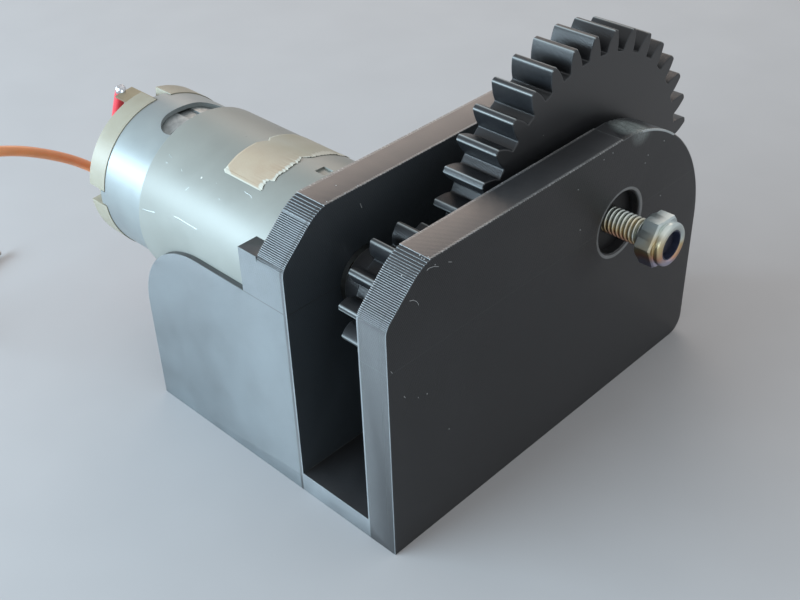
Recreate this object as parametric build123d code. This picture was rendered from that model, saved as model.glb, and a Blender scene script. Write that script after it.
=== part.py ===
from build123d import *
from math import acos, cos, degrees, pi, radians, sin, sqrt, tan
import os

# Geared DC motor: a printed channel bracket carries a brushed motor with a 12-tooth pinion,
# which turns a 36-tooth output gear on an M6 bolt.
#
# Frame, in millimetres: the origin is on the bracket's underside, below the output bolt's axis
# and midway between the two gear plates.  +X runs along the plates away from the motor, +Y runs
# from the output nut towards the motor, and +Z is up.

# ------------------------------------------------------------------ bracket
channel_gap = 19.0              # between the two gear plates
outer_plate_t = 7.2
inner_plate_t = 7.4
floor_t = 4.8
plate_height = 64.1
front_wall = 1.17               # from the motor's bore to the front edge of the plates
output_to_rear = 30.4           # output axis to the rear edge of the plates
shaft_height = 44.1             # both axes above the underside
front_chamfer_x = 9.5
front_chamfer_z = 8.9
chamfer_blend_r = 4.0
rear_top_r = 32.0
rear_bottom_r = 4.0
edge_break = 0.4                # small chamfer round the bush holes
cradle_length = 40.1            # of the motor's cradle, from the inner plate
cradle_top = 45.1
cradle_corner_r = 20.0
cradle_wall = 1.15              # beside the motor, at its widest
collar_length = 5.2             # taller stretch of the cradle against the inner plate
collar_top = 55.2

# ------------------------------------------------------------------ gears
module = 2.0
gear_teeth = 36
pinion_teeth = 12
pressure_angle = 20.0
tip_addendum = 1.0              # in modules
root_dedendum = 1.25            # in modules
foot_rise = 0.1                 # in modules, from the root to the start of the flank
backlash = 0.30                 # taken off each tooth's thickness at the pitch circle
undercut = 0.35                 # taken off each side of a pinion tooth at its root
gear_width = 10.0
gear_near_gap = 2.2             # between the output gear and the outer plate
gear_tooth_angle = 179.0        # direction of one gear tooth, degrees from +X towards +Z
pinion_hub_r = 6.65
pinion_hub_l = 5.8
print_edge = 0.35               # chamfer on the gears' rims

# ------------------------------------------------------------------ output bolt, M6
bolt_r = 2.97
bolt_length = 45.0              # below the head
bolt_end_chamfer = 0.6
hex_flats = 10.0
hex_corner_inset = 0.15         # the turned corners start this far inside the flats
hex_corner_angle = 28.0         # degrees, of the turned corners' slope
bolt_head_t = 4.0
plain_nut_t = 5.0
nut_pocket = 2.5                # depth of the hexagonal pocket in the gear
pocket_play = 0.05
lock_nut_t = 6.0
lock_nut_hex_t = 4.2
lock_collar_r = 4.75
lock_collar_round_r = 0.9
insert_r = 3.75
insert_t = 2.0
insert_inset = 0.35             # insert below the rolled rim
lock_nut_stand_off = 6.9        # between the outer plate and the lock nut
thread_play = 0.02
shim_r = 6.0
sleeve_r = 5.0
axial_play = 0.10

# ------------------------------------------------------------------ plain bearing bushes
bush_hole_r = 7.0
bush_flange_r = 9.0
bush_flange_t = 1.2
bush_recess = 2.4               # outer bush below the outer plate's face
running_play = 0.06
bush_play = 0.02

# ------------------------------------------------------------------ motor
can_r = 18.0
can_wall = 1.0
can_length = 54.4
can_front_r = 2.6
motor_boss_r = 6.5
motor_boss_l = 5.0
motor_boss_play = 0.15
fixing_hole_r = 1.25            # tapped M3 holes in the can's front
fixing_spacing = 25.0
front_vents = 6
front_vent_r = 2.2
front_vent_axis_r = 11.3        # clear of the tapped holes
ring_wall = 1.2
ring_start = 0.8                # behind the can's front
ring_to_rear = 14.0             # from the ring to the can's rear
ring_play = 0.03
vent_w = 9.4                    # side vents in the can
vent_to_rear = 6.6
vent_span_angle = 54.0          # degrees round the can
vent_angle = 88.0
magnet_t = 3.3
magnet_start = 7.0
magnet_to_rear = 15.4
magnet_span_angle = 116.0
magnet_play = 0.02
clip_wire_r = 0.5
clip_leg_angle = 3.0            # from a magnet's edge to the middle of a clip's leg
clip_leg_span_angle = 4.0
shaft_r = 1.5875
shaft_front_l = 20.0            # of shaft ahead of the can's front
shaft_rear_l = 1.5              # of shaft behind the end bell's boss
shaft_play = 0.03
shaft_hole_play = 0.8           # round the shaft where it leaves the casing
bearing_r = 4.2
bearing_l = 5.5
bearing_play = 0.01

# ------------------------------------------------------------------ rotor
poles = 3
air_gap = 0.5
stack_start = 10.0
stack_to_rear = 17.4
stack_hub_r = 5.0
pole_web = 5.0
shoe_t = 2.6
shoe_span_angle = 96.0
coil_side = 3.6
coil_end = 3.5
coil_play = 0.05
rotor_sleeve_r = 3.0
commutator_r = 4.0
commutator_l = 7.5
commutator_to_rear = 3.9
segment_t = 1.3
segment_gap = 0.5

# ------------------------------------------------------------------ end bell and brushes
bell_overhang = 0.2             # of the rim outside the can
bell_rim_l = 5.4                # of the rim behind the can
bell_rim_t = 2.6
bell_web_t = 2.8
bell_plug_l = 3.0
bell_plug_play = 0.02
bell_boss_r = 5.6
bell_boss_l = 6.4
bell_lip_t = 1.0                # behind the rear bearing
bell_window_inset = 1.6         # from the windows to the rim
bell_window_gap = 2.0           # from the windows to the boss
bell_window_angle = 56.0
notch_width = 3.8
notch_angle = 88.0
notches = 4
can_tab_w = 3.2
can_tab_l = 1.6
brush_w = 4.0
brush_l = 5.2
brush_t = 3.4
brush_contact = 0.03
holder_wall = 0.6
holder_l = 7.6
holder_gap = 1.2                # from the brush's tip to the holder
holder_arm_step = 1.0
spring_arm_t = 0.4
spring_finger_w = 1.4
terminal_w = 4.6
terminal_t = 0.5
terminal_angle = 97.0
terminal_inset = 1.4            # from the can's outside to the terminal's middle
terminal_l = 8.6                # of terminal behind the end bell's web
terminal_root_l = 1.8
solder_r = 1.9
solder_shift = 0.4              # bead's middle beyond the terminal's end
label_t = 0.10
label_middle_angle = 91.0       # degrees round the flux ring
label_span_angle = 58.0
label_start = 5.6
label_end = 21.6

# ------------------------------------------------------------------ leads
lead_r = 1.2
strand_r = 0.75
strand_l = 6.0
floor_play = 0.05               # under a lead that lies on the floor
arc_share = 0.45                # of the shorter run beside a corner, taken up by its arc

# ------------------------------------------------------------------ places worked out
channel_far = channel_gap / 2
channel_near = -channel_far
outer_face = channel_near - outer_plate_t
inner_face = channel_far + inner_plate_t        # the motor's front stands here
centre_distance = module * (gear_teeth + pinion_teeth) / 2
motor_x = -centre_distance
ring_r = can_r + ring_wall
bore_r = ring_r + ring_play     # of the cradle and the collar
bell_r = can_r + bell_overhang
terminal_axis_r = can_r - terminal_inset
plate_front = motor_x - bore_r - front_wall
plate_rear = output_to_rear
cradle_far = inner_face + cradle_length
cradle_half = bore_r + cradle_wall
gear_near = channel_near + gear_near_gap
gear_far = gear_near + gear_width
shim_t = gear_near - (channel_near + bush_flange_t) - axial_play
nut_far = gear_far - nut_pocket + plain_nut_t
sleeve_far = channel_far - bush_flange_t - axial_play
bolt_seat = inner_face + axial_play
bolt_end = bolt_seat - bolt_length
lock_nut_near = outer_face - lock_nut_stand_off  # the nut's flat side
lock_nut_end = lock_nut_near - lock_nut_t
ring_end = can_length - ring_to_rear             # from here on, behind the can's front
vent_middle = can_length - vent_to_rear - vent_w / 2
magnet_end = can_length - magnet_to_rear
stack_end = can_length - stack_to_rear
commutator_end = can_length - commutator_to_rear
commutator_start = commutator_end - commutator_l
rear_bearing_end = can_length + bell_boss_l - bell_lip_t
rear_bearing_start = rear_bearing_end - bearing_l
magnet_outer_r = can_r - can_wall - magnet_play
magnet_inner_r = magnet_outer_r - magnet_t
rotor_r = magnet_inner_r - air_gap
both_terminals = (terminal_angle, terminal_angle + 180)
cut = 1.0                       # cutters run this far past what they cut
near = 0.01                     # edges are found within this distance

os.makedirs("parts", exist_ok=True)
parts = {}


# ------------------------------------------------------------------ helpers
def along_y(sketch, y0, y1, x=0.0, z=shaft_height):
    """Extrudes a sketch drawn in X and Z from y0 to y1, about the axis at x, z."""
    plane = Plane(origin=(x, y1, z), x_dir=(1, 0, 0), z_dir=(0, -1, 0))
    return extrude(plane * sketch, amount=y1 - y0)


def rod(radius, y0, y1, x=0.0, z=shaft_height):
    return along_y(Circle(radius), y0, y1, x, z)


def tube(outer, inner, y0, y1, x=0.0, z=shaft_height):
    return along_y(Circle(outer) - Circle(inner), y0, y1, x, z)


def polar(radius, angle):
    """The point at this radius and angle, the angle in radians."""
    return radius * cos(angle), radius * sin(angle)


def sector(outer, inner, middle_deg, span_deg):
    """A ring sector as a sketch about the origin."""
    steps = [radians(middle_deg + span_deg * share) for share in (-0.5, 0.0, 0.5)]
    rim = [polar(outer, a) for a in steps]
    bore = [polar(inner, a) for a in reversed(steps)]
    edges = Curve() + [ThreePointArc(*rim), Line(rim[2], bore[0]),
                       ThreePointArc(*bore), Line(bore[2], rim[0])]
    return make_face(edges)


def turned(shape, angle_deg, x=0.0, z=shaft_height):
    """Turns a solid about the axis along Y at x, z, from +X towards +Z."""
    return shape.rotate(Axis((x, 0, z), (0, -1, 0)), angle_deg)


def block(x0, x1, y0, y1, z0, z1):
    return Pos((x0 + x1) / 2, (y0 + y1) / 2, (z0 + z1) / 2) * Box(x1 - x0, y1 - y0, z1 - z0)


def hexagon(flats):
    return RegularPolygon(flats / 2, 6, major_radius=False)


# ------------------------------------------------------------------ bracket
def plate_outline():
    """Side view of a gear plate: chamfered front top, wide rounded rear top."""
    chamfer_start = (plate_front, plate_height - front_chamfer_z)
    chamfer_end = (plate_front + front_chamfer_x, plate_height)
    line = Polyline((plate_front, 0), chamfer_start, chamfer_end, (plate_rear, plate_height),
                    (plate_rear, 0), close=True)
    face = make_face(line)
    corners = [(chamfer_start, chamfer_blend_r), (chamfer_end, chamfer_blend_r),
               ((plate_rear, plate_height), rear_top_r), ((plate_rear, 0), rear_bottom_r)]
    for (x, z), radius in corners:
        corner = min(face.vertices(), key=lambda v: (v.X - x) ** 2 + (v.Y - z) ** 2)
        face = fillet(corner, radius)
    return face


def bracket():
    body = along_y(plate_outline(), outer_face, inner_face, z=0)
    body -= block(plate_front - cut, plate_rear + cut, channel_near, channel_far,
                   floor_t, plate_height + cut)
    cradle_rear_x = motor_x + cradle_half
    cradle = block(plate_front, cradle_rear_x, inner_face, cradle_far, 0, cradle_top)
    top_far = [e for e in cradle.edges().filter_by(Axis.X)
               if e.center().Y > cradle_far - near and e.center().Z > cradle_top - near]
    cradle = fillet(top_far, cradle_corner_r)
    collar = block(plate_front, cradle_rear_x, inner_face, inner_face + collar_length,
                    0, collar_top)
    body += cradle + collar
    body -= rod(bore_r, inner_face, cradle_far + cut, x=motor_x)
    body -= rod(motor_boss_r + motor_boss_play, channel_far - cut, inner_face + cut, x=motor_x)
    body -= rod(bush_hole_r, outer_face - cut, channel_near + cut)
    body -= rod(bush_hole_r, channel_far - cut, inner_face + cut)
    rim = [e for e in body.edges().filter_by(GeomType.CIRCLE)
           if abs(e.center().Y - outer_face) < near and abs(e.radius - bush_hole_r) < near]
    return chamfer(rim, edge_break)


parts["gearbox_bracket"] = bracket()


def bush(flange_near, flange_far, body_near, body_far):
    flange = rod(bush_flange_r, flange_near, flange_far)
    body = rod(bush_hole_r - bush_play, body_near, body_far)
    return flange + body - rod(bolt_r + running_play, body_near - channel_gap,
                               body_far + channel_gap)


parts["outer_bush"] = bush(channel_near, channel_near + bush_flange_t,
                           outer_face + bush_recess, channel_near)
parts["inner_bush"] = bush(channel_far - bush_flange_t, channel_far, channel_far, inner_face)


# ------------------------------------------------------------------ gears
def involute(angle):
    return tan(angle) - angle


def tooth_half_angle(teeth, radius):
    """Half the angle that a tooth covers at this radius, outside the base circle."""
    pitch_r = module * teeth / 2
    base_r = pitch_r * cos(radians(pressure_angle))
    at_pitch = (pi * module / 2 - backlash) / (2 * pitch_r)
    turn = acos(min(1.0, base_r / radius))
    return at_pitch + involute(radians(pressure_angle)) - involute(turn)


def gear_outline(teeth, tooth_deg, root_relief=0.0):
    """Closed outline of a spur gear: involute flanks as arcs through three of their points."""
    pitch_r = module * teeth / 2
    tip_r = pitch_r + tip_addendum * module
    root_r = pitch_r - root_dedendum * module
    base_r = pitch_r * cos(radians(pressure_angle))
    foot_r = max(base_r, root_r + foot_rise * module)
    radii = (foot_r, (foot_r + tip_r) / 2, tip_r)
    half = [tooth_half_angle(teeth, r) for r in radii]
    root_half = half[0] - root_relief / root_r
    step = 2 * pi / teeth
    edges = []
    for k in range(teeth):
        mid = radians(tooth_deg) + k * step
        rise = [polar(r, mid - h) for r, h in zip(radii, half)]
        fall = [polar(r, mid + h) for r, h in zip(reversed(radii), reversed(half))]
        foot_in = polar(root_r, mid - root_half)
        foot_out = polar(root_r, mid + root_half)
        edges += [Line(foot_in, rise[0]), ThreePointArc(*rise),
                  ThreePointArc(rise[2], polar(tip_r, mid), fall[0]), ThreePointArc(*fall),
                  Line(fall[2], foot_out),
                  ThreePointArc(foot_out, polar(root_r, mid + step / 2),
                                polar(root_r, mid + step - root_half))]
    return make_face(Curve() + edges)


def broken_rim(gear, tip_r, y0, y1, x):
    """Takes a small slope off both ends of the tooth tips."""
    rim = rod(tip_r + cut, y0, y1, x)
    kept = chamfer(rod(tip_r, y0, y1, x).edges().filter_by(GeomType.CIRCLE), print_edge)
    return gear - (rim - kept)


# One pinion tooth stands in the gear's gap at the point where the pitch circles touch.
pinion_tooth_angle = ((180 - gear_tooth_angle) * gear_teeth + 180) / pinion_teeth

output_gear = along_y(gear_outline(gear_teeth, gear_tooth_angle), gear_near, gear_far)
output_gear = broken_rim(output_gear, module * (gear_teeth / 2 + tip_addendum),
                         gear_near, gear_far, 0)
output_gear -= rod(bolt_r + thread_play, gear_near - cut, gear_far + cut)
output_gear -= along_y(hexagon(hex_flats + 2 * pocket_play), gear_far - nut_pocket,
                       gear_far + cut)
parts["output_gear"] = output_gear

pinion = along_y(gear_outline(pinion_teeth, pinion_tooth_angle, undercut), gear_near, gear_far,
                 x=motor_x)
pinion = broken_rim(pinion, module * (pinion_teeth / 2 + tip_addendum), gear_near, gear_far,
                    motor_x)
pinion += rod(pinion_hub_r, gear_far, gear_far + pinion_hub_l, x=motor_x)
pinion -= rod(shaft_r, gear_near - cut, gear_far + pinion_hub_l + cut, x=motor_x)
parts["motor_pinion"] = pinion


# ------------------------------------------------------------------ output bolt and its nuts
def hex_block(y0, y1, flats, slope_at):
    """A hexagon along Y whose corners are turned off at the ends listed in slope_at."""
    corner_r = flats / sqrt(3)
    slope_w = corner_r - flats / 2 + hex_corner_inset
    turned_rod = rod(corner_r, y0, y1)
    rims = [e for e in turned_rod.edges().filter_by(GeomType.CIRCLE)
            if any(abs(e.center().Y - y) < near for y in slope_at)]
    turned_rod = chamfer(rims, slope_w * tan(radians(hex_corner_angle)), slope_w)
    return along_y(hexagon(flats), y0, y1) & turned_rod


bolt_head = hex_block(bolt_seat, bolt_seat + bolt_head_t, hex_flats, [bolt_seat + bolt_head_t])
bolt_shank = rod(bolt_r, bolt_end, bolt_seat)
bolt_shank = chamfer(bolt_shank.edges().filter_by(GeomType.CIRCLE).sort_by(Axis.Y)[0],
                     bolt_end_chamfer)
parts["output_bolt"] = bolt_head + bolt_shank

gear_nut = hex_block(gear_far - nut_pocket, nut_far, hex_flats, [nut_far])
parts["gear_nut"] = gear_nut - rod(bolt_r + thread_play, outer_face, inner_face)
parts["near_shim"] = tube(shim_r, bolt_r + thread_play, gear_near - shim_t, gear_near)
parts["spacer_sleeve"] = tube(sleeve_r, bolt_r + thread_play, nut_far, sleeve_far)

lock_collar = rod(lock_collar_r, lock_nut_end, lock_nut_near)
lock_collar = fillet(lock_collar.edges().filter_by(GeomType.CIRCLE).sort_by(Axis.Y)[0],
                     lock_collar_round_r)
lock_hex = hex_block(lock_nut_near - lock_nut_hex_t, lock_nut_near, hex_flats,
                     [lock_nut_near, lock_nut_near - lock_nut_hex_t])
insert_near = lock_nut_end + insert_inset + insert_t
lock_nut = lock_hex + lock_collar - rod(bolt_r + thread_play, lock_nut_end - cut,
                                        lock_nut_near + cut)
parts["lock_nut"] = lock_nut - rod(insert_r, lock_nut_end - cut, insert_near)
parts["lock_nut_insert"] = tube(insert_r, bolt_r + thread_play, lock_nut_end + insert_inset,
                                insert_near)


# ------------------------------------------------------------------ motor casing
def motor_rod(radius, s0, s1):
    """A cylinder on the motor's axis, from s0 to s1 behind the can's front."""
    return rod(radius, inner_face + s0, inner_face + s1, x=motor_x)


def motor_tube(outer, inner, s0, s1):
    return tube(outer, inner, inner_face + s0, inner_face + s1, x=motor_x)


def motor_sector(outer, inner, middle_deg, span_deg, s0, s1):
    return along_y(sector(outer, inner, middle_deg, span_deg), inner_face + s0,
                   inner_face + s1, x=motor_x)


def on_motor(shape, angle_deg):
    """Turns a solid drawn towards +X from the motor's axis to the given direction."""
    return turned(shape, angle_deg, x=motor_x)


def motor_block(r0, r1, width, s0, s1):
    """A block from r0 to r1 along +X from the motor's axis, width across, s0 to s1 along it."""
    return block(motor_x + r0, motor_x + r1, inner_face + s0, inner_face + s1,
                  shaft_height - width / 2, shaft_height + width / 2)


def vent_cutter(side):
    """A slot with round ends across the can's side, cut straight in from outside."""
    across = 2 * can_r * sin(radians(vent_span_angle / 2))
    inside = can_r * cos(radians(vent_span_angle / 2)) - 2 * can_wall
    plane = Plane(origin=(motor_x + inside, inner_face + vent_middle, shaft_height),
                  x_dir=(0, 0, 1), z_dir=(1, 0, 0))
    return on_motor(extrude(plane * SlotOverall(across, vent_w), amount=can_r + cut - inside),
                    side)


def motor_can():
    """Drawn can: closed front with a boss, open rear with four tabs in the end bell's notches."""
    full_length = can_length + can_tab_l
    shell = motor_rod(can_r, 0, full_length)
    shell = fillet(shell.edges().filter_by(GeomType.CIRCLE).sort_by(Axis.Y)[0], can_front_r)
    hollow = motor_rod(can_r - can_wall, can_wall, full_length + cut)
    hollow = fillet(hollow.edges().filter_by(GeomType.CIRCLE).sort_by(Axis.Y)[0],
                    can_front_r - can_wall)
    shell -= hollow
    shell += motor_rod(motor_boss_r, -motor_boss_l, can_wall)
    shell -= motor_rod(bearing_r + bearing_play, -motor_boss_l + can_wall, can_wall + cut)
    shell -= motor_rod(shaft_r + shaft_hole_play, -motor_boss_l - cut, can_wall)
    for side in (90, 270):
        x, z = polar(fixing_spacing / 2, radians(side))
        shell -= rod(fixing_hole_r, inner_face - cut, inner_face + can_wall + cut,
                     motor_x + x, shaft_height + z)
    for k in range(front_vents):
        x, z = polar(front_vent_axis_r, 2 * pi * k / front_vents)
        shell -= rod(front_vent_r, inner_face - cut, inner_face + can_wall + cut,
                     motor_x + x, shaft_height + z)
    for side in (vent_angle, vent_angle + 180):
        shell -= vent_cutter(side)
    notch_step = 360 / notches
    for k in range(notches):
        shell -= motor_sector(can_r + cut, can_r - 2 * can_wall,
                              notch_angle + (k + 0.5) * notch_step,
                              notch_step - degrees(can_tab_w / can_r),
                              can_length, full_length + cut)
    return shell


parts["motor_can"] = motor_can()
parts["flux_ring"] = motor_tube(ring_r, can_r, ring_start, ring_end)

parts["field_magnets"] = Compound([
    motor_sector(magnet_outer_r, magnet_inner_r, side, magnet_span_angle, magnet_start,
                 magnet_end) for side in (0, 180)])


def magnet_clip():
    """A bent spring wire between the two magnets: two legs and a bridge across them."""
    inner_r = magnet_outer_r - 2 * clip_wire_r
    leg_turn = 90 - magnet_span_angle / 2 - clip_leg_angle
    bridge_angle = 2 * leg_turn + clip_leg_span_angle
    clip = motor_sector(magnet_outer_r, inner_r, 90, bridge_angle,
                        magnet_end - 2 * clip_wire_r, magnet_end)
    for way in (-1, 1):
        clip += motor_sector(magnet_outer_r, inner_r, 90 + way * leg_turn, clip_leg_span_angle,
                             magnet_start, magnet_end)
    return clip


parts["magnet_clips"] = Compound([magnet_clip(), on_motor(magnet_clip(), 180)])

front_bearing_start = can_wall - motor_boss_l
parts["front_bearing"] = motor_tube(bearing_r, shaft_r + shaft_play, front_bearing_start,
                                    front_bearing_start + bearing_l)
parts["rear_bearing"] = motor_tube(bearing_r, shaft_r + shaft_play, rear_bearing_start,
                                   rear_bearing_end)


# ------------------------------------------------------------------ end bell
def end_bell():
    bell = motor_tube(bell_r, bell_r - bell_rim_t, can_length, can_length + bell_rim_l)
    for k in range(notches):
        bell -= motor_sector(bell_r + cut, can_r - 2 * can_wall, notch_angle + k * 360 / notches,
                             degrees(notch_width / bell_r), can_length - cut,
                             can_length + bell_rim_l + cut)
    bell += motor_rod(can_r - can_wall - bell_plug_play, can_length - bell_plug_l,
                      can_length + bell_web_t)
    bell += motor_rod(bell_boss_r, can_length, can_length + bell_boss_l)
    bell -= motor_rod(bearing_r + bearing_play, can_length - bell_plug_l - cut,
                      rear_bearing_end)
    bell -= motor_rod(shaft_r + shaft_hole_play, can_length, can_length + bell_boss_l + cut)
    for side in both_terminals:
        bell -= on_motor(motor_block(terminal_axis_r - terminal_t / 2 - bell_plug_play,
                                     terminal_axis_r + terminal_t / 2 + bell_plug_play,
                                     terminal_w + 2 * bell_plug_play,
                                     can_length + bell_web_t - terminal_root_l,
                                     can_length + bell_rim_l + cut), side)
        bell -= motor_sector(bell_r - bell_rim_t - bell_window_inset,
                             bell_boss_r + bell_window_gap, side + 90, bell_window_angle,
                             can_length - bell_plug_l - cut, can_length + bell_web_t + cut)
    return bell


parts["end_bell"] = end_bell()


# ------------------------------------------------------------------ brush gear and terminals
brush_middle = (commutator_start + commutator_end) / 2
brush_inner = commutator_r + brush_contact
holder_inner = brush_inner + holder_gap
holder_outer = holder_inner + holder_l


def brush_holder():
    """A square brass tube round the brush, with an arm back to the end bell."""
    outside = motor_block(holder_inner, holder_outer, brush_w + 2 * holder_wall,
                          brush_middle - brush_t / 2 - holder_wall,
                          brush_middle + brush_t / 2 + holder_wall)
    inside = motor_block(holder_inner - cut, holder_outer + cut, brush_w,
                         brush_middle - brush_t / 2, brush_middle + brush_t / 2)
    arm = motor_block(holder_inner + holder_arm_step, holder_outer, brush_w,
                      brush_middle + brush_t / 2 + holder_wall / 2, can_length - bell_plug_l)
    return outside - inside + (arm - inside)


def brush():
    return motor_block(brush_inner, brush_inner + brush_l, brush_w, brush_middle - brush_t / 2,
                       brush_middle + brush_t / 2)


def brush_spring():
    """A leaf that closes the holder's outer end and presses on the brush."""
    leaf = motor_block(holder_outer, holder_outer + spring_arm_t, brush_w + 2 * holder_wall,
                       brush_middle - brush_t / 2 - holder_wall,
                       brush_middle + brush_t / 2 + holder_wall)
    finger = motor_block(brush_inner + brush_l, holder_outer, spring_finger_w,
                         brush_middle - spring_arm_t, brush_middle + spring_arm_t)
    return leaf + finger


def terminal():
    """A flat tab through the end bell."""
    return motor_block(terminal_axis_r - terminal_t / 2, terminal_axis_r + terminal_t / 2,
                       terminal_w, can_length + bell_web_t - terminal_root_l,
                       can_length + bell_web_t + terminal_l)


joint_s = can_length + bell_web_t + terminal_l
parts["brush_holders"] = Compound([on_motor(brush_holder(), side) for side in both_terminals])
parts["carbon_brushes"] = Compound([on_motor(brush(), side) for side in both_terminals])
parts["brush_springs"] = Compound([on_motor(brush_spring(), side) for side in both_terminals])
parts["terminals"] = Compound([on_motor(terminal(), side) for side in both_terminals])

# ------------------------------------------------------------------ rotor
parts["motor_shaft"] = motor_rod(shaft_r, -shaft_front_l,
                                 can_length + bell_boss_l + shaft_rear_l)


def lamination_sketch():
    pole = sector(rotor_r, rotor_r - shoe_t, 0, shoe_span_angle)
    pole += Pos((rotor_r - shoe_t / 2 + stack_hub_r / 2) / 2, 0) * Rectangle(
        rotor_r - shoe_t / 2 - stack_hub_r / 2, pole_web)
    star = Circle(stack_hub_r)
    for k in range(poles):
        star += Rot(0, 0, k * 360 / poles) * pole
    return star - Circle(shaft_r)


parts["lamination_stack"] = along_y(lamination_sketch(), inner_face + stack_start,
                                    inner_face + stack_end, x=motor_x)


def coil():
    """One coil round a pole's web, held in under the pole shoe."""
    wound = motor_block(stack_hub_r, rotor_r, pole_web + 2 * coil_side,
                        stack_start - coil_end, stack_end + coil_end)
    wound = wound & motor_rod(rotor_r - shoe_t - coil_play, stack_start - coil_end,
                              stack_end + coil_end)
    wound -= motor_rod(stack_hub_r + coil_play, stack_start - coil_end - cut,
                       stack_end + coil_end + cut)
    return wound - motor_block(0, rotor_r, pole_web + 2 * coil_play, stack_start - coil_play,
                               stack_end + coil_play)


parts["windings"] = Compound([on_motor(coil(), k * 360 / poles) for k in range(poles)])
parts["front_sleeve"] = motor_tube(rotor_sleeve_r, shaft_r,
                                   front_bearing_start + bearing_l + axial_play, stack_start)
parts["commutator_core"] = motor_tube(commutator_r - segment_t, shaft_r, stack_end,
                                      commutator_end)
segment_span = 360 / poles - degrees(segment_gap / commutator_r)
parts["commutator_segments"] = Compound([
    motor_sector(commutator_r, commutator_r - segment_t, (k + 0.5) * 360 / poles, segment_span,
                 commutator_start, commutator_end) for k in range(poles)])
parts["rear_sleeve"] = motor_tube(rotor_sleeve_r, shaft_r, commutator_end,
                                  rear_bearing_start - axial_play)


# ------------------------------------------------------------------ label
parts["motor_label"] = motor_sector(ring_r + label_t, ring_r, label_middle_angle,
                                    label_span_angle, label_start, label_end)


# ------------------------------------------------------------------ leads
def rounding(points):
    """The arc's radius at each inner corner of a route, as large as the runs beside it allow."""
    radii = []
    for before, here, after in zip(points, points[1:], points[2:]):
        run_in = Vector(*here) - Vector(*before)
        run_out = Vector(*after) - Vector(*here)
        half_turn = radians(run_in.get_angle(run_out)) / 2
        radii.append(arc_share * min(run_in.length, run_out.length) / tan(half_turn))
    return radii


def lead(name, points):
    """An insulated lead along its route, and the tinned strands at its free end."""
    radii = rounding(points)
    path = FilletPolyline(*points, radius=radii)
    start = Plane(origin=points[0], z_dir=Vector(*points[1]) - Vector(*points[0]))
    body = sweep(start * Circle(lead_r), path=path)
    end = Vector(*points[-1])
    way = (end - Vector(*points[-2])).normalized()
    strands = extrude(Plane(origin=end, z_dir=way) * Circle(strand_r), amount=strand_l)
    parts[f"{name}_lead"] = body
    parts[f"{name}_lead_end"] = strands
    section = pi * lead_r ** 2
    print(name, "lead length", round(path.length, 1), "radii", [round(r, 1) for r in radii],
          "volume over section times length", round(body.volume / (section * path.length), 4))


def joint_at(side, beyond=0.0):
    """Middle of a terminal's free end, or a point so far beyond it."""
    x, z = polar(terminal_axis_r, radians(side))
    return motor_x + x, inner_face + joint_s + beyond, shaft_height + z


floor_rest = lead_r + floor_play
lead("red", [
    joint_at(terminal_angle, lead_r), (-51.8, 85.9, 52.0), (-52.9, 87.3, 42.0), (-51.4, 88.3, 30.0),
    (-45.4, 88.3, 19.0), (-35.4, 85.3, 9.0), (-22.4, 78.3, 2.0), (-8.4, 69.3, floor_rest),
    (4.6, 58.3, floor_rest), (13.6, 45.3, floor_rest), (15.6, 30.3, floor_rest)])
lead("orange", [
    joint_at(terminal_angle + 180, lead_r), (-47.4, 91.3, 31.0), (-53.0, 98.3, 37.2),
    (-61.2, 97.3, 43.9), (-72.4, 96.3, 50.6), (-82.4, 98.3, 52.5), (-91.4, 102.3, 46.0),
    (-97.4, 107.3, 34.0), (-99.4, 112.3, 19.0), (-98.4, 117.3, 6.5),
    (-92.4, 126.3, floor_rest), (-80.4, 133.3, floor_rest), (-70.4, 135.3, floor_rest)])


def solder_joint(side):
    """A bead of solder round the terminal's end, which also grips the start of its lead."""
    bead = Pos(*joint_at(side, solder_shift)) * Sphere(solder_r)
    return bead - on_motor(terminal(), side)


parts["solder_joints"] = Compound([solder_joint(side) for side in both_terminals])

for node, shape in parts.items():
    export_step(shape, f"parts/{node}.step")
print(len(parts), "nodes")
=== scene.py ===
import math
from functools import partial

import bmesh
import bpy
import numpy as np
from bpy.props import FloatProperty, FloatVectorProperty, IntProperty, PointerProperty
from mathutils import Matrix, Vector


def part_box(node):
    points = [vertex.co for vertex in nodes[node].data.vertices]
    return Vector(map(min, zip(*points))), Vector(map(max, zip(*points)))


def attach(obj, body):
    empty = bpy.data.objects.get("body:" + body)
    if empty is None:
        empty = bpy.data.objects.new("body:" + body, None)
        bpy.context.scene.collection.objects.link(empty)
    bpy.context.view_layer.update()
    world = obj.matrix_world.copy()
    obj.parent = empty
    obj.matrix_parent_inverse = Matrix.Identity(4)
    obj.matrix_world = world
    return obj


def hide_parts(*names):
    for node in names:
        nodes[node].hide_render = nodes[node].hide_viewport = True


bl_info = {
    "name": "Geared DC Motor",
    "version": (1, 0, 0),
    "blender": (4, 5, 0),
    "location": "View3D > Sidebar > Geared Motor",
    "description": "Dresses a printed gearbox bracket, its gears, its brushed motor and its leads",
    "category": "Object",
}

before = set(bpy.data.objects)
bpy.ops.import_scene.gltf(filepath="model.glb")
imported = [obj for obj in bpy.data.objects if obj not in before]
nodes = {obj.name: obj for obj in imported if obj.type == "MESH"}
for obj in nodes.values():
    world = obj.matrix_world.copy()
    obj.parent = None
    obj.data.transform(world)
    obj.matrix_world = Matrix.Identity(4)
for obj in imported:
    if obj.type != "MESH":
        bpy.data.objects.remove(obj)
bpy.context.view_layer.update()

MM = 0.001


# ---------------------------------------------------------------- places taken from the frame
def axis_of(node):
    """X and Z of the axis of a node that is turned about Y."""
    low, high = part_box(node)
    return (low[0] + high[0]) / 2, (low[2] + high[2]) / 2


def y_range(node):
    """Where a node starts and ends along Y."""
    low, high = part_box(node)
    return low[1], high[1]


def radius_of(node):
    """Outer radius of a node that is turned about Y."""
    low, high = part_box(node)
    return (high[0] - low[0]) / 2


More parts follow.
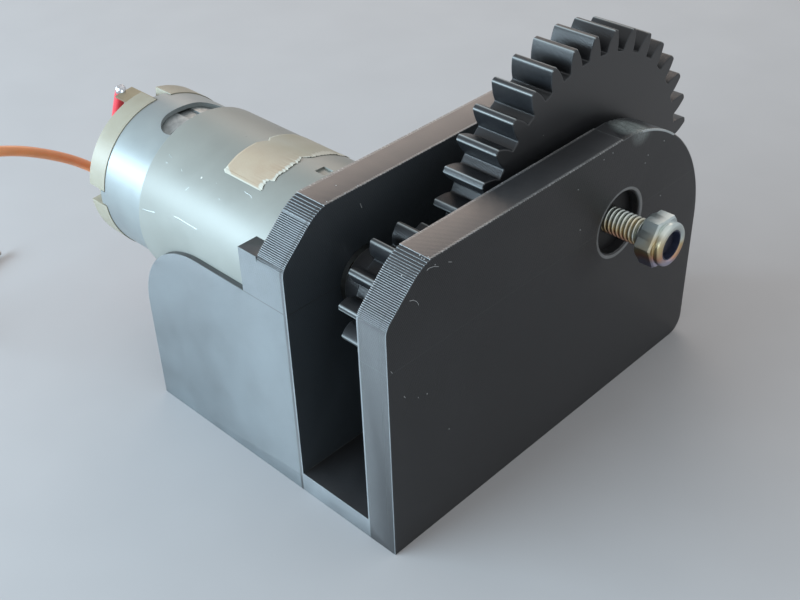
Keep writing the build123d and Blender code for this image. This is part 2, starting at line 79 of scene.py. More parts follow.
GEAR_AXIS, MOTOR_AXIS = axis_of("output_bolt"), axis_of("motor_shaft")
GEAR_NEAR, GEAR_FAR = y_range("output_gear")
PINION_FAR = y_range("motor_pinion")[1]
BOLT_END, BOLT_TOP = y_range("output_bolt")
NUT_END, NUT_SEAT = y_range("lock_nut")
INSERT_SEAT = y_range("lock_nut_insert")[1]
RING_START, RING_END = y_range("flux_ring")
RING_R, CAN_R = radius_of("flux_ring"), radius_of("motor_can")
PLATE_LOW, PLATE_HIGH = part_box("gearbox_bracket")
# The can's front is level with the inner plate's far face, 33.6 mm from the outer plate's face.
CAN_FRONT = PLATE_LOW[1] + 0.0336


# ---------------------------------------------------------------- sizes and colours
LENGTH = {"precision": 5, "subtype": "DISTANCE"}


class BracketSizes(bpy.types.PropertyGroup):
    """Sizes of the printed bracket's outline and layers."""
    layers: IntProperty(name="Layers", description="Printed layers in the height of the plates",
                        default=229)
    chamfer_x: FloatProperty(name="Chamfer length", description="Of the plates' front chamfer",
                             default=0.0095, **LENGTH)
    chamfer_z: FloatProperty(name="Chamfer height", description="Of the plates' front chamfer",
                             default=0.0089, **LENGTH)
    blend: FloatProperty(name="Blend radius", description="At both ends of the chamfer",
                         default=0.004, **LENGTH)
    rear_radius: FloatProperty(name="Rear radius", description="Of the plates' rear top corner",
                               default=0.032, **LENGTH)
    crest_radius: FloatProperty(name="Crest radius", description="Of the chamfer's upper end",
                                default=0.012, **LENGTH)
    crest_angle: FloatProperty(name="Crest angle", description="Of the slope where it meets the "
                               "top", default=math.radians(18), subtype="ANGLE")
    edge: FloatProperty(name="Edge rounding", description="Of the outer upright corners",
                        default=0.0009, **LENGTH)


class GearSizes(bpy.types.PropertyGroup):
    """Sizes of both spur gears."""
    module: FloatProperty(name="Module", description="Pitch diameter over teeth",
                          default=0.002, **LENGTH)
    gear_teeth: IntProperty(name="Gear teeth", description="Teeth on the output gear", default=36)
    pinion_teeth: IntProperty(name="Pinion teeth", description="Teeth on the pinion", default=12)
    pressure_angle: FloatProperty(name="Pressure angle", description="Of the tooth flanks",
                                  default=math.radians(20), subtype="ANGLE")
    gear_phase: FloatProperty(name="Gear phase", description="Direction of one gear tooth",
                              default=math.radians(179), subtype="ANGLE")
    pinion_phase: FloatProperty(name="Pinion phase", description="Direction of one pinion tooth",
                                default=math.radians(18), subtype="ANGLE")
    backlash: FloatProperty(name="Backlash", description="Taken off each tooth's thickness",
                            default=0.0003, **LENGTH)
    undercut: FloatProperty(name="Undercut", description="Taken off a pinion tooth's foot",
                            default=0.00035, **LENGTH)
    edge: FloatProperty(name="Edge rounding", description="Of the teeth at both end faces",
                        default=0.00028, **LENGTH)
    hub_radius: FloatProperty(name="Hub radius", description="Of the pinion's hub",
                              default=0.00665, **LENGTH)


class ThreadSizes(bpy.types.PropertyGroup):
    """Sizes of the M6 bolt, its thread and its nut."""
    pitch: FloatProperty(name="Pitch", description="Of the thread", default=0.001, **LENGTH)
    major: FloatProperty(name="Crest radius", description="Of the thread", default=0.00296,
                         **LENGTH)
    depth: FloatProperty(name="Thread depth", description="From crest to root", default=0.00056,
                         **LENGTH)
    flats: FloatProperty(name="Across flats", description="Of the head and the nut",
                         default=0.00995, **LENGTH)


class FinishColours(bpy.types.PropertyGroup):
    """Main colours of the finishes, as they are written in sRGB."""
    red: FloatVectorProperty(name="Red lead", description="Insulation of the first lead",
                             subtype="COLOR_GAMMA", size=3, default=(0.95, 0.24, 0.30))
    orange: FloatVectorProperty(name="Orange lead", description="Insulation of the second lead",
                                subtype="COLOR_GAMMA", size=3, default=(1.0, 0.66, 0.43))


class StageSizes(bpy.types.PropertyGroup):
    """The camera's lens and the level of the lights."""
    lens: FloatProperty(name="Focal length", description="In millimetres on a 36 mm sensor",
                        default=53.26, subtype="DISTANCE_CAMERA")
    key: FloatProperty(name="Key light", description="Power of the large light on the left",
                       default=8.0, subtype="POWER", unit="POWER")
    fill: FloatProperty(name="Fill light", description="Power of the wide light overhead",
                        default=1.9, subtype="POWER", unit="POWER")
    rear: FloatProperty(name="Rear light", description="Power of the light behind on the right",
                        default=1.0, subtype="POWER", unit="POWER")


# ---------------------------------------------------------------- meshes
def new_object(name, data):
    """An object with the given data, in the scene."""
    item = bpy.data.objects.new(name, data)
    bpy.context.scene.collection.objects.link(item)
    return item


def shade(mesh, degrees):
    """Makes faces smooth, and edges sharp where the surface turns by more than the angle."""
    mesh.polygons.foreach_set("use_smooth", np.ones(len(mesh.polygons), dtype=bool))
    mesh.set_sharp_from_angle(angle=math.radians(degrees))


def set_attribute(mesh, name, domain, values):
    """Stores one value for each point or edge of a mesh."""
    mesh.attributes.new(name, "FLOAT", domain).data.foreach_set("value", values)


def ring_faces(rows, columns, close_rows=False, close_columns=True):
    """Quads of a grid, each joining a point to the next row and the next column; columns, and
    rows where asked, close on themselves."""
    i, j = np.meshgrid(np.arange(rows if close_rows else rows - 1),
                       np.arange(columns if close_columns else columns - 1), indexing="ij")
    k, m = (i + 1) % rows, (j + 1) % columns
    return np.stack([i * columns + j, i * columns + m, k * columns + m, k * columns + j],
                    axis=-1).reshape(-1, 4)


def mesh_piece(name, points, faces, smooth_angle=35.0):
    """A mesh object from an array of points and an array or list of faces, its faces turned
    outwards and smooth up to the given angle in degrees."""
    mesh = bpy.data.meshes.new(name)
    mesh.from_pydata(np.asarray(points, dtype=float).reshape(-1, 3).tolist(), [],
                     faces.tolist() if isinstance(faces, np.ndarray) else faces)
    work = bmesh.new()
    work.from_mesh(mesh)
    bmesh.ops.remove_doubles(work, verts=work.verts, dist=1e-7)
    bmesh.ops.recalc_face_normals(work, faces=work.faces)
    work.to_mesh(mesh)
    work.free()
    shade(mesh, smooth_angle)
    return new_object(name, mesh)


def place(piece, body, stands_for, material):
    """Gives a finished piece its material and body, and hides the CAD nodes that it stands for."""
    piece.data.materials.clear()
    piece.data.materials.append(material)
    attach(piece, body)
    if stands_for:
        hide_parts(*stands_for)


def about_axis(axis, radius, angle, y):
    """Points at a radius and an angle about an axis along Y; the angle runs from +X to +Z."""
    radius, angle, y = np.broadcast_arrays(radius, angle, y)
    return np.stack([axis[0] + radius * np.cos(angle), y, axis[1] + radius * np.sin(angle)],
                    axis=-1)


# An edge of a CAD node counts as sharp where its faces turn by more than this, in radians.
SHARP_TURN = 0.6


def rounded_copy(name, node, width, share=lambda edge: 1.0):
    """A merged copy of a CAD node whose sharp edges have a Bevel modifier: each is rounded by
    its share of the width."""
    work = bmesh.new()
    work.from_mesh(nodes[node].data)
    bmesh.ops.remove_doubles(work, verts=work.verts, dist=1e-6)
    bmesh.ops.dissolve_limit(work, angle_limit=math.radians(0.5), verts=work.verts,
                             edges=work.edges)
    mesh = bpy.data.meshes.new(name)
    work.to_mesh(mesh)
    weights = [share(edge) if len(edge.link_faces) == 2 and edge.calc_face_angle() >= SHARP_TURN
               else 0.0 for edge in work.edges]
    work.free()
    set_attribute(mesh, "bevel_weight_edge", "EDGE", weights)
    shade(mesh, 32)
    piece = new_object(name, mesh)
    bevel = piece.modifiers.new("Edge rounding", "BEVEL")
    bevel.limit_method, bevel.width, bevel.segments = "WEIGHT", width, 3
    return piece


def strands(name, paths, radii):
    """Thin closed tubes along paths of points in millimetres, blunt at both ends, with one radius
    for all paths or one for each.

    Each path is resampled to 14 stations; a station's circle stands square to the path and its
    radius falls to nothing at the ends as a quarter circle does."""
    stations, sides = 14, 8
    share = np.linspace(0, 1, stations)
    turn = np.linspace(0, 2 * math.pi, sides, endpoint=False)[None, :, None]
    points = []
    for path, radius in zip(paths, np.broadcast_to(radii, len(paths))):
        path = np.asarray(path, dtype=float)
        along = np.concatenate([[0], np.cumsum(np.linalg.norm(np.diff(path, axis=0), axis=1))])
        line = np.stack([np.interp(share * along[-1], along, path[:, i]) for i in range(3)], 1)
        ahead = np.gradient(line, axis=0)
        ahead /= np.linalg.norm(ahead, axis=1, keepdims=True)
        aside = np.cross(ahead, (0.29, -0.81, 0.51))
        aside /= np.linalg.norm(aside, axis=1, keepdims=True)
        over = np.cross(ahead, aside)
        from_end = np.clip(np.minimum(share, 1 - share) * along[-1] / radius, 0, 1)
        size = (radius * np.sqrt(1 - (1 - from_end) ** 2))[:, None, None]
        points.append(line[:, None] + size * (np.cos(turn) * aside[:, None]
                                              + np.sin(turn) * over[:, None]))
    return copies(name, np.array(points) * MM, ring_faces(stations, sides), 60.0)


def copies(name, grids, faces, smooth_angle=35.0):
    """One piece from grids of points that all have the same faces."""
    size = grids[0].size // 3
    faces = np.concatenate([faces + size * number for number in range(len(grids))])
    return mesh_piece(name, grids, faces, smooth_angle)


# ---------------------------------------------------------------- materials
def linear(code):
    """An sRGB hex colour, or three sRGB values, as linear red, green, blue and one."""
    if isinstance(code, str):
        code = [int(code[i:i + 2], 16) / 255 for i in (1, 3, 5)]
    return [c / 12.92 if c <= 0.04045 else ((c + 0.055) / 1.055) ** 2.4 for c in code] + [1.0]


def add_node(tree, kind, inputs=None, stops=(), **settings):
    """Adds a shader node, sets its properties, and fills or links its inputs. A socket is linked,
    a node is linked by its first output in use, and anything else is set as the input's value.
    Stops are a colour ramp's places and colours."""
    node = tree.nodes.new("ShaderNode" + kind)
    for key, value in settings.items():
        setattr(node, key, value)
    for index, (at, colour) in enumerate(stops):
        elements = node.color_ramp.elements
        stop = elements[index] if index < 2 else elements.new(at)
        stop.position, stop.color = at, linear(colour)
    for key, value in (inputs or {}).items():
        if isinstance(value, bpy.types.Node):
            value = next(socket for socket in value.outputs if socket.enabled)
        if isinstance(value, bpy.types.NodeSocket):
            tree.links.new(value, node.inputs[key])
        else:
            node.inputs[key].default_value = value
    return node


def new_material(name):
    """A material with an empty tree, add_node for that tree, and the Object coordinates."""
    material = bpy.data.materials.new(name)
    material.use_nodes = True
    material.node_tree.nodes.clear()
    add = partial(add_node, material.node_tree)
    return material, add, add("TexCoord").outputs["Object"]


def finish_material(material, look):
    """Adds the Principled shader with its inputs and links it to the material's output."""
    shader = add_node(material.node_tree, "BsdfPrincipled", look)
    add_node(material.node_tree, "OutputMaterial", {"Surface": shader})
    return material


def paint(add, colour, marks):
    """Lays the colour of each mark over what is there, where all the mark's masks are set."""
    for (mask, *others), code in marks:
        for other in others:
            mask = add("Math", {0: mask, 1: other}, operation="MULTIPLY")
        colour = add("Mix", {"Factor": mask, 6: colour, 7: linear(code)}, data_type="RGBA")
    return colour


# Frequency of a wave texture whose bands repeat every metre. A noise's scale is in cells a metre.
WAVE = 2 * math.pi / 20
# The bracket's own marks: the height of a seam between two layers, the middle of a rough patch,
# grooves by their place along Y and half their width, and the middle of a plate's thickness.
SEAM_Z = 45.1 * MM
PATCH = (5.2 * MM, -14.0 * MM, 64.1 * MM)
GROOVES = ((-15.05 * MM, 0.10 * MM), (-10.30 * MM, 0.08 * MM), (10.40 * MM, 0.09 * MM))
PLATE_MIDDLE = 13.15 * MM


def plate_marks(add, where, faces, at, blotches, grain, infill):
    """The bracket's own marks, as masks and colours, and the height of its cut lines.

    In their order: a painted sheen on the cradle's face towards -X, painted light on the inner
    plate's wall towards the gears, the cut lines, the turns of the infill and the ends of the
    beads along the plates' top edges, a painted highlight along the plates' front edges towards
    -X, the rough patch, and painted highlights on the rims of the outer plate's rear corner and of
    the bolt's hole."""
    flat_on = add("VectorMath", {0: where, 1: (1.0, 0.0, 1.0)}, operation="MULTIPLY")
    corner = (PLATE_HIGH[0] - 32 * MM, 0.0, PLATE_HIGH[2] - 32 * MM)
    from_corner, from_bolt, from_patch = (
        add("VectorMath", {0: start, 1: centre}, operation="DISTANCE") for start, centre in (
            (flat_on, corner), (flat_on, (GEAR_AXIS[0], 0.0, GEAR_AXIS[1])), (where, PATCH)))
    # How far a point is from the middle of either plate's thickness.
    side = at["Y"]
    for operation, value in (("ABSOLUTE", 0.0), ("SUBTRACT", PLATE_MIDDLE), ("ABSOLUTE", 0.0)):
        side = add("Math", {0: side, 1: value}, operation=operation)
    beads = add("TexWave", {"Vector": where, "Scale": WAVE / (1.05 * MM)}, bands_direction="X")
    uneven = add("TexNoise", {"Vector": where, "Scale": 420.0})
    beads = add("Math", {0: beads.outputs["Fac"], 1: uneven}, operation="MULTIPLY")

    limits = (
        ("ahead", faces["X"], "LESS_THAN", -0.5), ("towards_gears", faces["Y"], "LESS_THAN", -0.9),
        ("inner_plate", at["Y"], "GREATER_THAN", 0.0), ("turns", infill, "GREATER_THAN", 0.62),
        ("cradle", at["Y"], "GREATER_THAN", 10.4 * MM), ("plates", at["Y"], "LESS_THAN", 16 * MM),
        ("edge", side, "GREATER_THAN", 3.1 * MM), ("thin_edge", side, "GREATER_THAN", 3.4 * MM),
        ("front_edge", side, "GREATER_THAN", 3.3 * MM),
        ("top", at["Z"], "GREATER_THAN", 63.85 * MM), ("high", at["Z"], "GREATER_THAN", 57.5 * MM),
        ("rear", at["X"], "GREATER_THAN", 5.2 * MM),
        ("outer_edge", at["Y"], "LESS_THAN", -16.3 * MM),
        ("outer_face", at["Y"], "LESS_THAN", -16.6 * MM),
        ("corner_rim", from_corner, "GREATER_THAN", 31.55 * MM),
        ("hole_rim", from_bolt, "LESS_THAN", 7.95 * MM))
    ranges = (("mottle", blotches, 0.25, 0.75, 0.42, 0.68), ("beads", beads, 0.38, 0.58, 0.0, 1.0),
              ("patch", from_patch, 5.0 * MM, 2.5 * MM, 0.0, 1.0))
    masks = {"blotches": blotches, "grain": grain, "strongly": 1.5}
    for key, value, way, limit in limits:
        masks[key] = add("Math", {0: value, 1: limit}, operation=way)
    for key, value, start, end, low, high in ranges:
        masks[key] = add("MapRange", {"Value": value, "From Min": start, "From Max": end,
                                      "To Min": low, "To Max": high})
    cut = add("Math", {0: at["Z"], 1: SEAM_Z, 2: 0.1 * MM}, operation="COMPARE")
    for groove_y, half in GROOVES:
        groove = add("Math", {0: at["Y"], 1: groove_y, 2: half}, operation="COMPARE")
        groove = add("Math", {0: groove, 1: masks["ahead"]}, operation="MULTIPLY")
        cut = add("Math", {0: cut, 1: groove}, operation="MAXIMUM")
    masks["cut"] = cut
    return [([masks[key] for key in keys.split()], code) for keys, code in (
        # Painted light on the inner plate's wall towards the gears, which lies in shade.
        # Painted sheen on the cradle's face towards -X.
        ("cradle ahead mottle", "#7a8489"), ("towards_gears inner_plate", "#3b4349"),
        ("cut", "#34383a"), ("edge top turns blotches", "#b4b6b6"),
        ("thin_edge top beads blotches", "#ccd0d0"),
        # Painted highlight along the plates' front edges where they face -X.
        ("front_edge ahead plates blotches", "#8f979c"), ("patch grain strongly", "#94a0a0"),
        # Painted highlight on the rim of the outer plate's rear corner.
        ("corner_rim rear high outer_edge", "#b9c4c8"),
        # Painted highlight on the rim of the bolt's hole.
        ("hole_rim outer_face blotches", "#b4b9bb"))], cut


def black_print(name, layer_axis, layer, plates=False):
    """Black PLA laid down in layers: satin, with a round bead for each layer on its sides, fine
    lines of infill on the faces along the layers, edges paler from wear and a painted highlight,
    and a little pale dust. With plates, the bracket's own marks are added, some of them painted
    light, and without them the crests of the teeth, pale from wear and a painted highlight."""
    material, add, where = new_material(name)
    normal = add("NewGeometry").outputs["Normal"]
    faces = add("SeparateXYZ", {0: normal}).outputs
    at = add("SeparateXYZ", {0: where}).outputs

    # Beads on the sides, and on the faces along the layers lines 0.42 mm wide at 45 degrees.
    beads = add("TexWave", {"Vector": where, "Scale": WAVE / layer}, bands_direction=layer_axis)
    infill = add("TexWave", {"Vector": where, "Scale": 2 * WAVE / (0.42 * MM * math.sqrt(2))},
                 bands_direction="DIAGONAL").outputs["Fac"]
    steep = add("Math", {0: faces[layer_axis]}, operation="ABSOLUTE")
    flat = add("Math", {0: steep, 1: 0.9}, operation="GREATER_THAN")
    faint = add("Math", {0: infill, 1: 0.16}, operation="MULTIPLY")
    lines = add("Mix", {"Factor": flat, "A": beads.outputs["Fac"], "B": faint})
    grain = add("TexNoise", {"Vector": where, "Scale": 2600.0, "Detail": 2.0})
    bump = add("Bump", {"Height": lines, "Strength": 1.0,
                        "Distance": (0.058 if plates else 0.03) * MM})
    bump = add("Bump", {"Height": grain, "Strength": 0.25, "Distance": 0.04 * MM, "Normal": bump})

    blotches = add("TexNoise", {"Vector": where, "Scale": 90.0, "Detail": 3.0, "Roughness": 0.6})
    colour = add("ValToRGB", {"Fac": blotches}, stops=[(0.3, "#1d1f22"), (0.7, "#26282b")])
    # Edges, pale from wear and a painted highlight: where the rounded normal leaves the face's
    # own, broken up by the blotches.
    rounded = add("Bevel", {"Radius": 0.28 * MM}, samples=4)
    alike = add("VectorMath", {0: rounded, 1: normal}, operation="DOT_PRODUCT")
    worn_and_highlit = add("MapRange", {"Value": alike, "From Min": 0.995, "From Max": 0.90, "To Max": 1.1})
    marks = [((worn_and_highlit, blotches), "#8d9498")]
    if not plates:
        # Painted highlight along the crests of the teeth, which also stands for wear there.
        tip = add("Attribute", attribute_name="crest").outputs["Fac"]
        marks.append(((tip,), "#a2a9aa"))
    # Dust: specks up to 0.3 mm wide in some of the cells of a 7 mm pattern.
    cells = add("TexVoronoi", {"Vector": where, "Scale": 140.0})
    chance = add("SeparateXYZ", {0: cells.outputs["Color"]})
    size = add("MapRange", {"Value": chance, "From Min": 0.55, "To Max": 0.026})
    speck = add("Math", {0: cells, 1: size}, operation="LESS_THAN")
    marks.append(((speck,), "#8e9192"))
    if plates:
        own, cut = plate_marks(add, where, faces, at, blotches, grain, infill)
        marks += own
        bump = add("Bump", {"Height": cut, "Strength": 1.0, "Distance": 0.06 * MM,
                            "Normal": bump}, invert=True)

    rough = add("MapRange", {"Value": blotches, "From Min": 0.25, "From Max": 0.75,
                             "To Min": 0.31, "To Max": 0.40})
    # The plates' wide walls are duller than their narrow edges, and the gears' teeth duller
    # than their end faces.
    across = add("Math", {0: faces["Y"]}, operation="ABSOLUTE")
    gloss = add("MapRange", {"Value": across, "From Min": 0.6, "From Max": 0.95,
                             "To Min": 0.95 if plates else 0.5,
                             "To Max": 0.60 if plates else 0.95})
    return finish_material(material, {"Base Color": paint(add, colour, marks), "IOR": 1.5,
                                      "Roughness": rough, "Specular IOR Level": gloss,
                                      "Normal": bump})


def plated_steel(name, pale, dark, rough, metal):
    """Zinc plated sheet steel: a satin grey-green metal with soft clouds, fine scratches along
    and round the motor, and small bright and dark nicks."""
    material, add, where = new_material(name)
    clouds = add("TexNoise", {"Vector": where, "Scale": 70.0, "Detail": 4.0, "Roughness": 0.55})
    stretched = add("Mapping", {"Vector": where, "Scale": (260.0, 2400.0, 260.0)})
    scratches = add("TexNoise", {"Vector": stretched, "Scale": 1.0, "Detail": 5.0,
                                 "Roughness": 0.7})
    colour = add("ValToRGB", {"Fac": clouds}, stops=[(0.3, dark), (0.7, pale)])
    spread = add("MapRange", {"Value": clouds, "From Min": 0.3, "From Max": 0.7,
                              "To Min": rough - 0.05, "To Max": rough + 0.06})
    bump = add("Bump", {"Height": scratches, "Strength": 0.06, "Distance": 0.05 * MM})
    # Nicks up to 0.4 mm wide in some of the cells of a 5 mm pattern.
    bent = add("Mapping", {"Vector": where, "Rotation": (0.5, 0.7, 0.4),
                           "Scale": (200.0, 200.0, 70.0)})
    cells = add("TexVoronoi", {"Vector": bent, "Scale": 1.0})
    chance = add("SeparateXYZ", {0: cells.outputs["Color"]})
    nicks = []
    for channel, code in (("X", "#e4e9e8"), ("Y", "#6f7775")):
        size = add("MapRange", {"Value": chance.outputs[channel], "From Min": 0.72,
                                "To Max": 0.055})
        nicks.append(((add("Math", {0: cells, 1: size}, operation="LESS_THAN"),), code))
    return finish_material(material, {"Base Color": paint(add, colour, nicks), "Metallic": metal,
                                      "Roughness": spread, "Normal": bump})


def passivated_zinc(name="Passivated zinc plate", shaded_end=None):
    """Zinc plate with a thin clear passivation: bright, with gold, rose and blue tints that follow
    the film's uneven thickness, and a painted reflection from silver on top to violet below. An
    end, given by its place along Y, is painted dark and dull as the shade in the nut's collar."""
    material, add, where = new_material(name)
    at = add("SeparateXYZ", {0: where}).outputs
    film = add("TexNoise", {"Vector": where, "Scale": 170.0, "Detail": 1.0, "Roughness": 0.4})
    # Painted reflection: the colour goes from silver on top through gold to violet downwards, over
    # the film's own uneven tints.
    height = add("MapRange", {"Value": at["Z"], "From Min": GEAR_AXIS[1] + 6 * MM,
                              "From Max": GEAR_AXIS[1] - 6 * MM, "To Min": -0.04,
                              "To Max": 0.58})
    film = add("Math", {0: film, 1: 0.5, 2: height}, operation="MULTIPLY_ADD")
    colour = add("ValToRGB", {"Fac": film},
                 stops=[(0.30, "#ccd8d8"), (0.76, "#b3afc2"), (0.42, "#dcdfd4"),
                        (0.53, "#d6c093"), (0.64, "#d2a287")])
    metal, rough = 1.0, 0.30
    if shaded_end is not None:
        # Painted shade: the bolt's end, deep in the nut's collar, is dark and dull.
        end = add("Math", {0: at["Y"], 1: shaded_end, 2: 0.1 * MM}, operation="COMPARE")
        colour = paint(add, colour, [((end,), "#2c2d3e")])
        metal, rough = (add("MapRange", {"Value": end, "To Min": off, "To Max": on})
                        for off, on in ((1.0, 0.2), (0.30, 0.45)))
    grain = add("TexNoise", {"Vector": where, "Scale": 3000.0, "Detail": 2.0})
    bump = add("Bump", {"Height": grain, "Strength": 0.10, "Distance": 0.03 * MM})
    return finish_material(material, {"Base Color": colour, "Metallic": metal,
                                      "Roughness": rough, "Normal": bump})


def mottled(name, pale, dark, scale, relief, look, spread=0.15):
    """A material of two mottled colours; relief is the strength and depth of its grain, and look
    holds the shader's other inputs."""
    material, add, where = new_material(name)
    noise = add("TexNoise", {"Vector": where, "Scale": scale, "Detail": 4.0})
    bump = add("Bump", {"Height": noise, "Strength": relief[0], "Distance": relief[1] * MM})
    colour = add("ValToRGB", {"Fac": noise}, stops=[(0.5 - spread, dark), (0.5 + spread, pale)])
    return finish_material(material, {"Base Color": colour, "Normal": bump, **look})


def plain_metal(name, pale, dark, rough, scale=900.0):
    """A bare metal with fine mottling of its colour and grain."""
    return mottled(name, pale, dark, scale, (0.2, 0.04), {"Metallic": 1.0, "Roughness": rough})


def plain_solid(name, pale, dark, rough, scale=500.0, soft=0.0):
    """A non-metal with mottled colour and a fine moulded or sintered grain; soft adds light that
    spreads under the surface."""
    return mottled(name, pale, dark, scale, (0.25, 0.04), {
        "Roughness": rough, "IOR": 1.5, "Subsurface Weight": soft,
        "Subsurface Radius": (0.001, 0.0009, 0.0007), "Subsurface Scale": 0.5})


def insulation(name, pale, dark):
    """Soft PVC insulation: waxy and slightly glossy, a little darker where it was handled."""
    return mottled(name, pale, dark, 120.0, (0.12, 0.05), {
        "Roughness": 0.3, "IOR": 1.5, "Specular IOR Level": 0.8, "Subsurface Weight": 0.15,
        "Subsurface Radius": (0.001, 0.0005, 0.0004), "Subsurface Scale": 0.4}, 0.2)


def finish_nodes(kind, looks):
    """Gives CAD nodes a material of one kind in place of their slots' plain colours."""
    for names, look in looks.items():
        material = kind(*look)
        for slot in (slot for name in names.split() for slot in nodes[name].material_slots):
            slot.material = material


# ---------------------------------------------------------------- stage
def aim(location, target):
    """A matrix that stands an object at location and points its -Z axis at target."""
    back = np.subtract(location, target).astype(float)
    back /= np.linalg.norm(back)
    right = np.cross((0.0, 0.0, 1.0), back)
    right /= np.linalg.norm(right)
    return frame_matrix(right, np.cross(back, right), back, location)


def frame_matrix(right, up, back, location):
    """The matrix of a frame, given by its three axes and its origin."""
    matrix = np.eye(4)
    matrix[:3] = np.stack([right, up, back, location], axis=1)
    return Matrix(matrix.tolist())


def area_light(name, location, target, size, power, colour):
    """A rectangular light at location that shines at target."""
    data = bpy.data.lights.new(name, "AREA")
    data.shape, data.energy, data.color = "RECTANGLE", power, linear(colour)[:3]
    data.size, data.size_y = size
    new_object(name, data).matrix_world = aim(location, target)


class MOTOR_OT_stage(bpy.types.Operator):
    """Sets up the camera, the lights and the pale floor"""
    bl_idname = "geared_motor.stage"
    bl_label = "Stage"

    def execute(self, context):
        sizes, scene = context.scene.motor_stage, context.scene
        data = bpy.data.cameras.new("Camera")
        data.lens, data.sensor_width, data.clip_start = sizes.lens, 36.0, 0.005
        scene.camera = new_object("Camera", data)
        scene.camera.matrix_world = frame_matrix(
            (0.69375, -0.71966, -0.02834), (0.43931, 0.39166, 0.80846),
            (-0.57072, -0.57332, 0.58787), (-0.1778, -0.1303, 0.1761))

        target = (-0.02, 0.02, 0.03)
        area_light("Key", (-0.62, 0.36, 0.20), target, (0.70, 0.20), sizes.key, "#d6efff")
        area_light("Overhead", (0.05, 0.0, 1.20), target, (1.60, 1.60), sizes.fill, "#ffffff")
        area_light("Rear", (0.50, 0.50, 0.42), target, (0.45, 0.30), sizes.rear, "#ffe6d4")

        # The world lights the object softly; the camera and reflections see a plain backdrop.
        scene.world = bpy.data.worlds.new("Studio")
        scene.world.use_nodes = True
        scene.world.node_tree.nodes.clear()
        add = partial(add_node, scene.world.node_tree)
        ray = add("LightPath").outputs
        seen = ray["Is Camera Ray"]
        for kind in ("Is Transmission Ray", "Is Glossy Ray"):
            seen = add("Math", {0: seen, 1: ray[kind]}, operation="MAXIMUM")
        light, backdrop = (add("Background", {"Color": linear(code), "Strength": strength})
                           for code, strength in (("#ffffff", 0.52), ("#c9cdd1", 1.0)))
        add("OutputWorld", {"Surface": add("MixShader", {0: seen, 1: light, 2: backdrop})})

        half = 3.0
        floor = mesh_piece("floor", [(-half, -half, 0), (half, -half, 0), (half, half, 0),
                                     (-half, half, 0)], [(0, 1, 2, 3)])
        material, add, where = new_material("Pale studio board")
        noise = add("TexNoise", {"Vector": where, "Scale": 40.0})
        tone = add("ValToRGB", {"Fac": noise}, stops=[(0.3, "#bfc1c4"), (0.7, "#c2c4c7")])
        floor.data.materials.append(finish_material(material, {
            "Base Color": tone, "Roughness": 0.8, "Specular IOR Level": 0.2}))

        scene.view_settings.view_transform = "Standard"
        return {"FINISHED"}


# ---------------------------------------------------------------- leads
RED_ROUTE = np.array([
    (-50.02, 83.9, 60.58), (-51.8, 85.9, 52.0), (-52.9, 87.3, 42.0), (-51.4, 88.3, 30.0),
    (-45.4, 88.3, 19.0), (-35.4, 85.3, 9.0), (-22.4, 78.3, 2.0), (-8.4, 69.3, 1.25),
    (4.6, 58.3, 1.25), (13.6, 45.3, 1.25), (15.6, 30.3, 1.25)]) * MM
ORANGE_ROUTE = np.array([
    (-45.98, 83.9, 27.62), (-47.4, 91.3, 31.0), (-53.0, 98.3, 37.2), (-61.2, 97.3, 43.9),
    (-72.4, 96.3, 50.6), (-82.4, 98.3, 52.5), (-91.4, 102.3, 46.0), (-97.4, 107.3, 34.0),
    (-99.4, 112.3, 19.0), (-98.4, 117.3, 6.5), (-92.4, 126.3, 1.25), (-80.4, 133.3, 1.25),
    (-70.4, 135.3, 1.25)]) * MM
LEAD_R = 1.2 * MM


def lead_curve(name, route):
    """A NURBS curve of order 3 whose control points are the lead's route."""
    data = bpy.data.curves.new(name, "CURVE")
    data.dimensions, data.use_fill_caps = "3D", True
    data.resolution_u, data.bevel_depth, data.bevel_resolution = 16, LEAD_R, 6
    spline = data.splines.new("NURBS")
    spline.points.add(len(route) - 1)
    spline.points.foreach_set("co", np.insert(route, 3, 1.0, axis=1).astype(np.float32).ravel())
    spline.order_u, spline.use_endpoint_u = 3, True
    return new_object(name, data)


class MOTOR_OT_leads(bpy.types.Operator):
    """Lays the red and the orange lead with their tinned ends"""
    bl_idname = "geared_motor.leads"
    bl_label = "Leads"

    def execute(self, context):
        colours = context.scene.motor_colours
        for name, route, colour, length in (("red", RED_ROUTE, colours.red, 0.138),
                                            ("orange", ORANGE_ROUTE, colours.orange, 0.142)):
            curve = lead_curve(f"{name}_wire", route)
            place(curve, "root", (f"{name}_lead",),
                  insulation(f"{name.capitalize()} PVC insulation", list(colour),
                             [c * 0.9 for c in colour]))
        return {"FINISHED"}


# ---------------------------------------------------------------- bracket
def rounded_corner(before, corner, after, radius, steps=24):
    """Points of the arc that blends a corner between two straight runs: it touches both runs
    at radius times the tangent of half the turn before and after the corner."""
    before, corner, after = (np.array(point, dtype=float) for point in (before, corner, after))
    come = (corner - before) / np.linalg.norm(corner - before)
    leave = (after - corner) / np.linalg.norm(after - corner)
    turn = math.acos(np.clip(come @ leave, -1, 1))
    reach = radius * math.tan(turn / 2)
    inward_way = leave - come
    centre = corner + inward_way / np.linalg.norm(inward_way) * radius / math.cos(turn / 2)
    first, last = corner - come * reach - centre, corner + leave * reach - centre
    share = np.linspace(0, 1, steps)[:, None]
    return centre + (first * np.sin((1 - share) * turn)
                     + last * np.sin(share * turn)) / math.sin(turn)


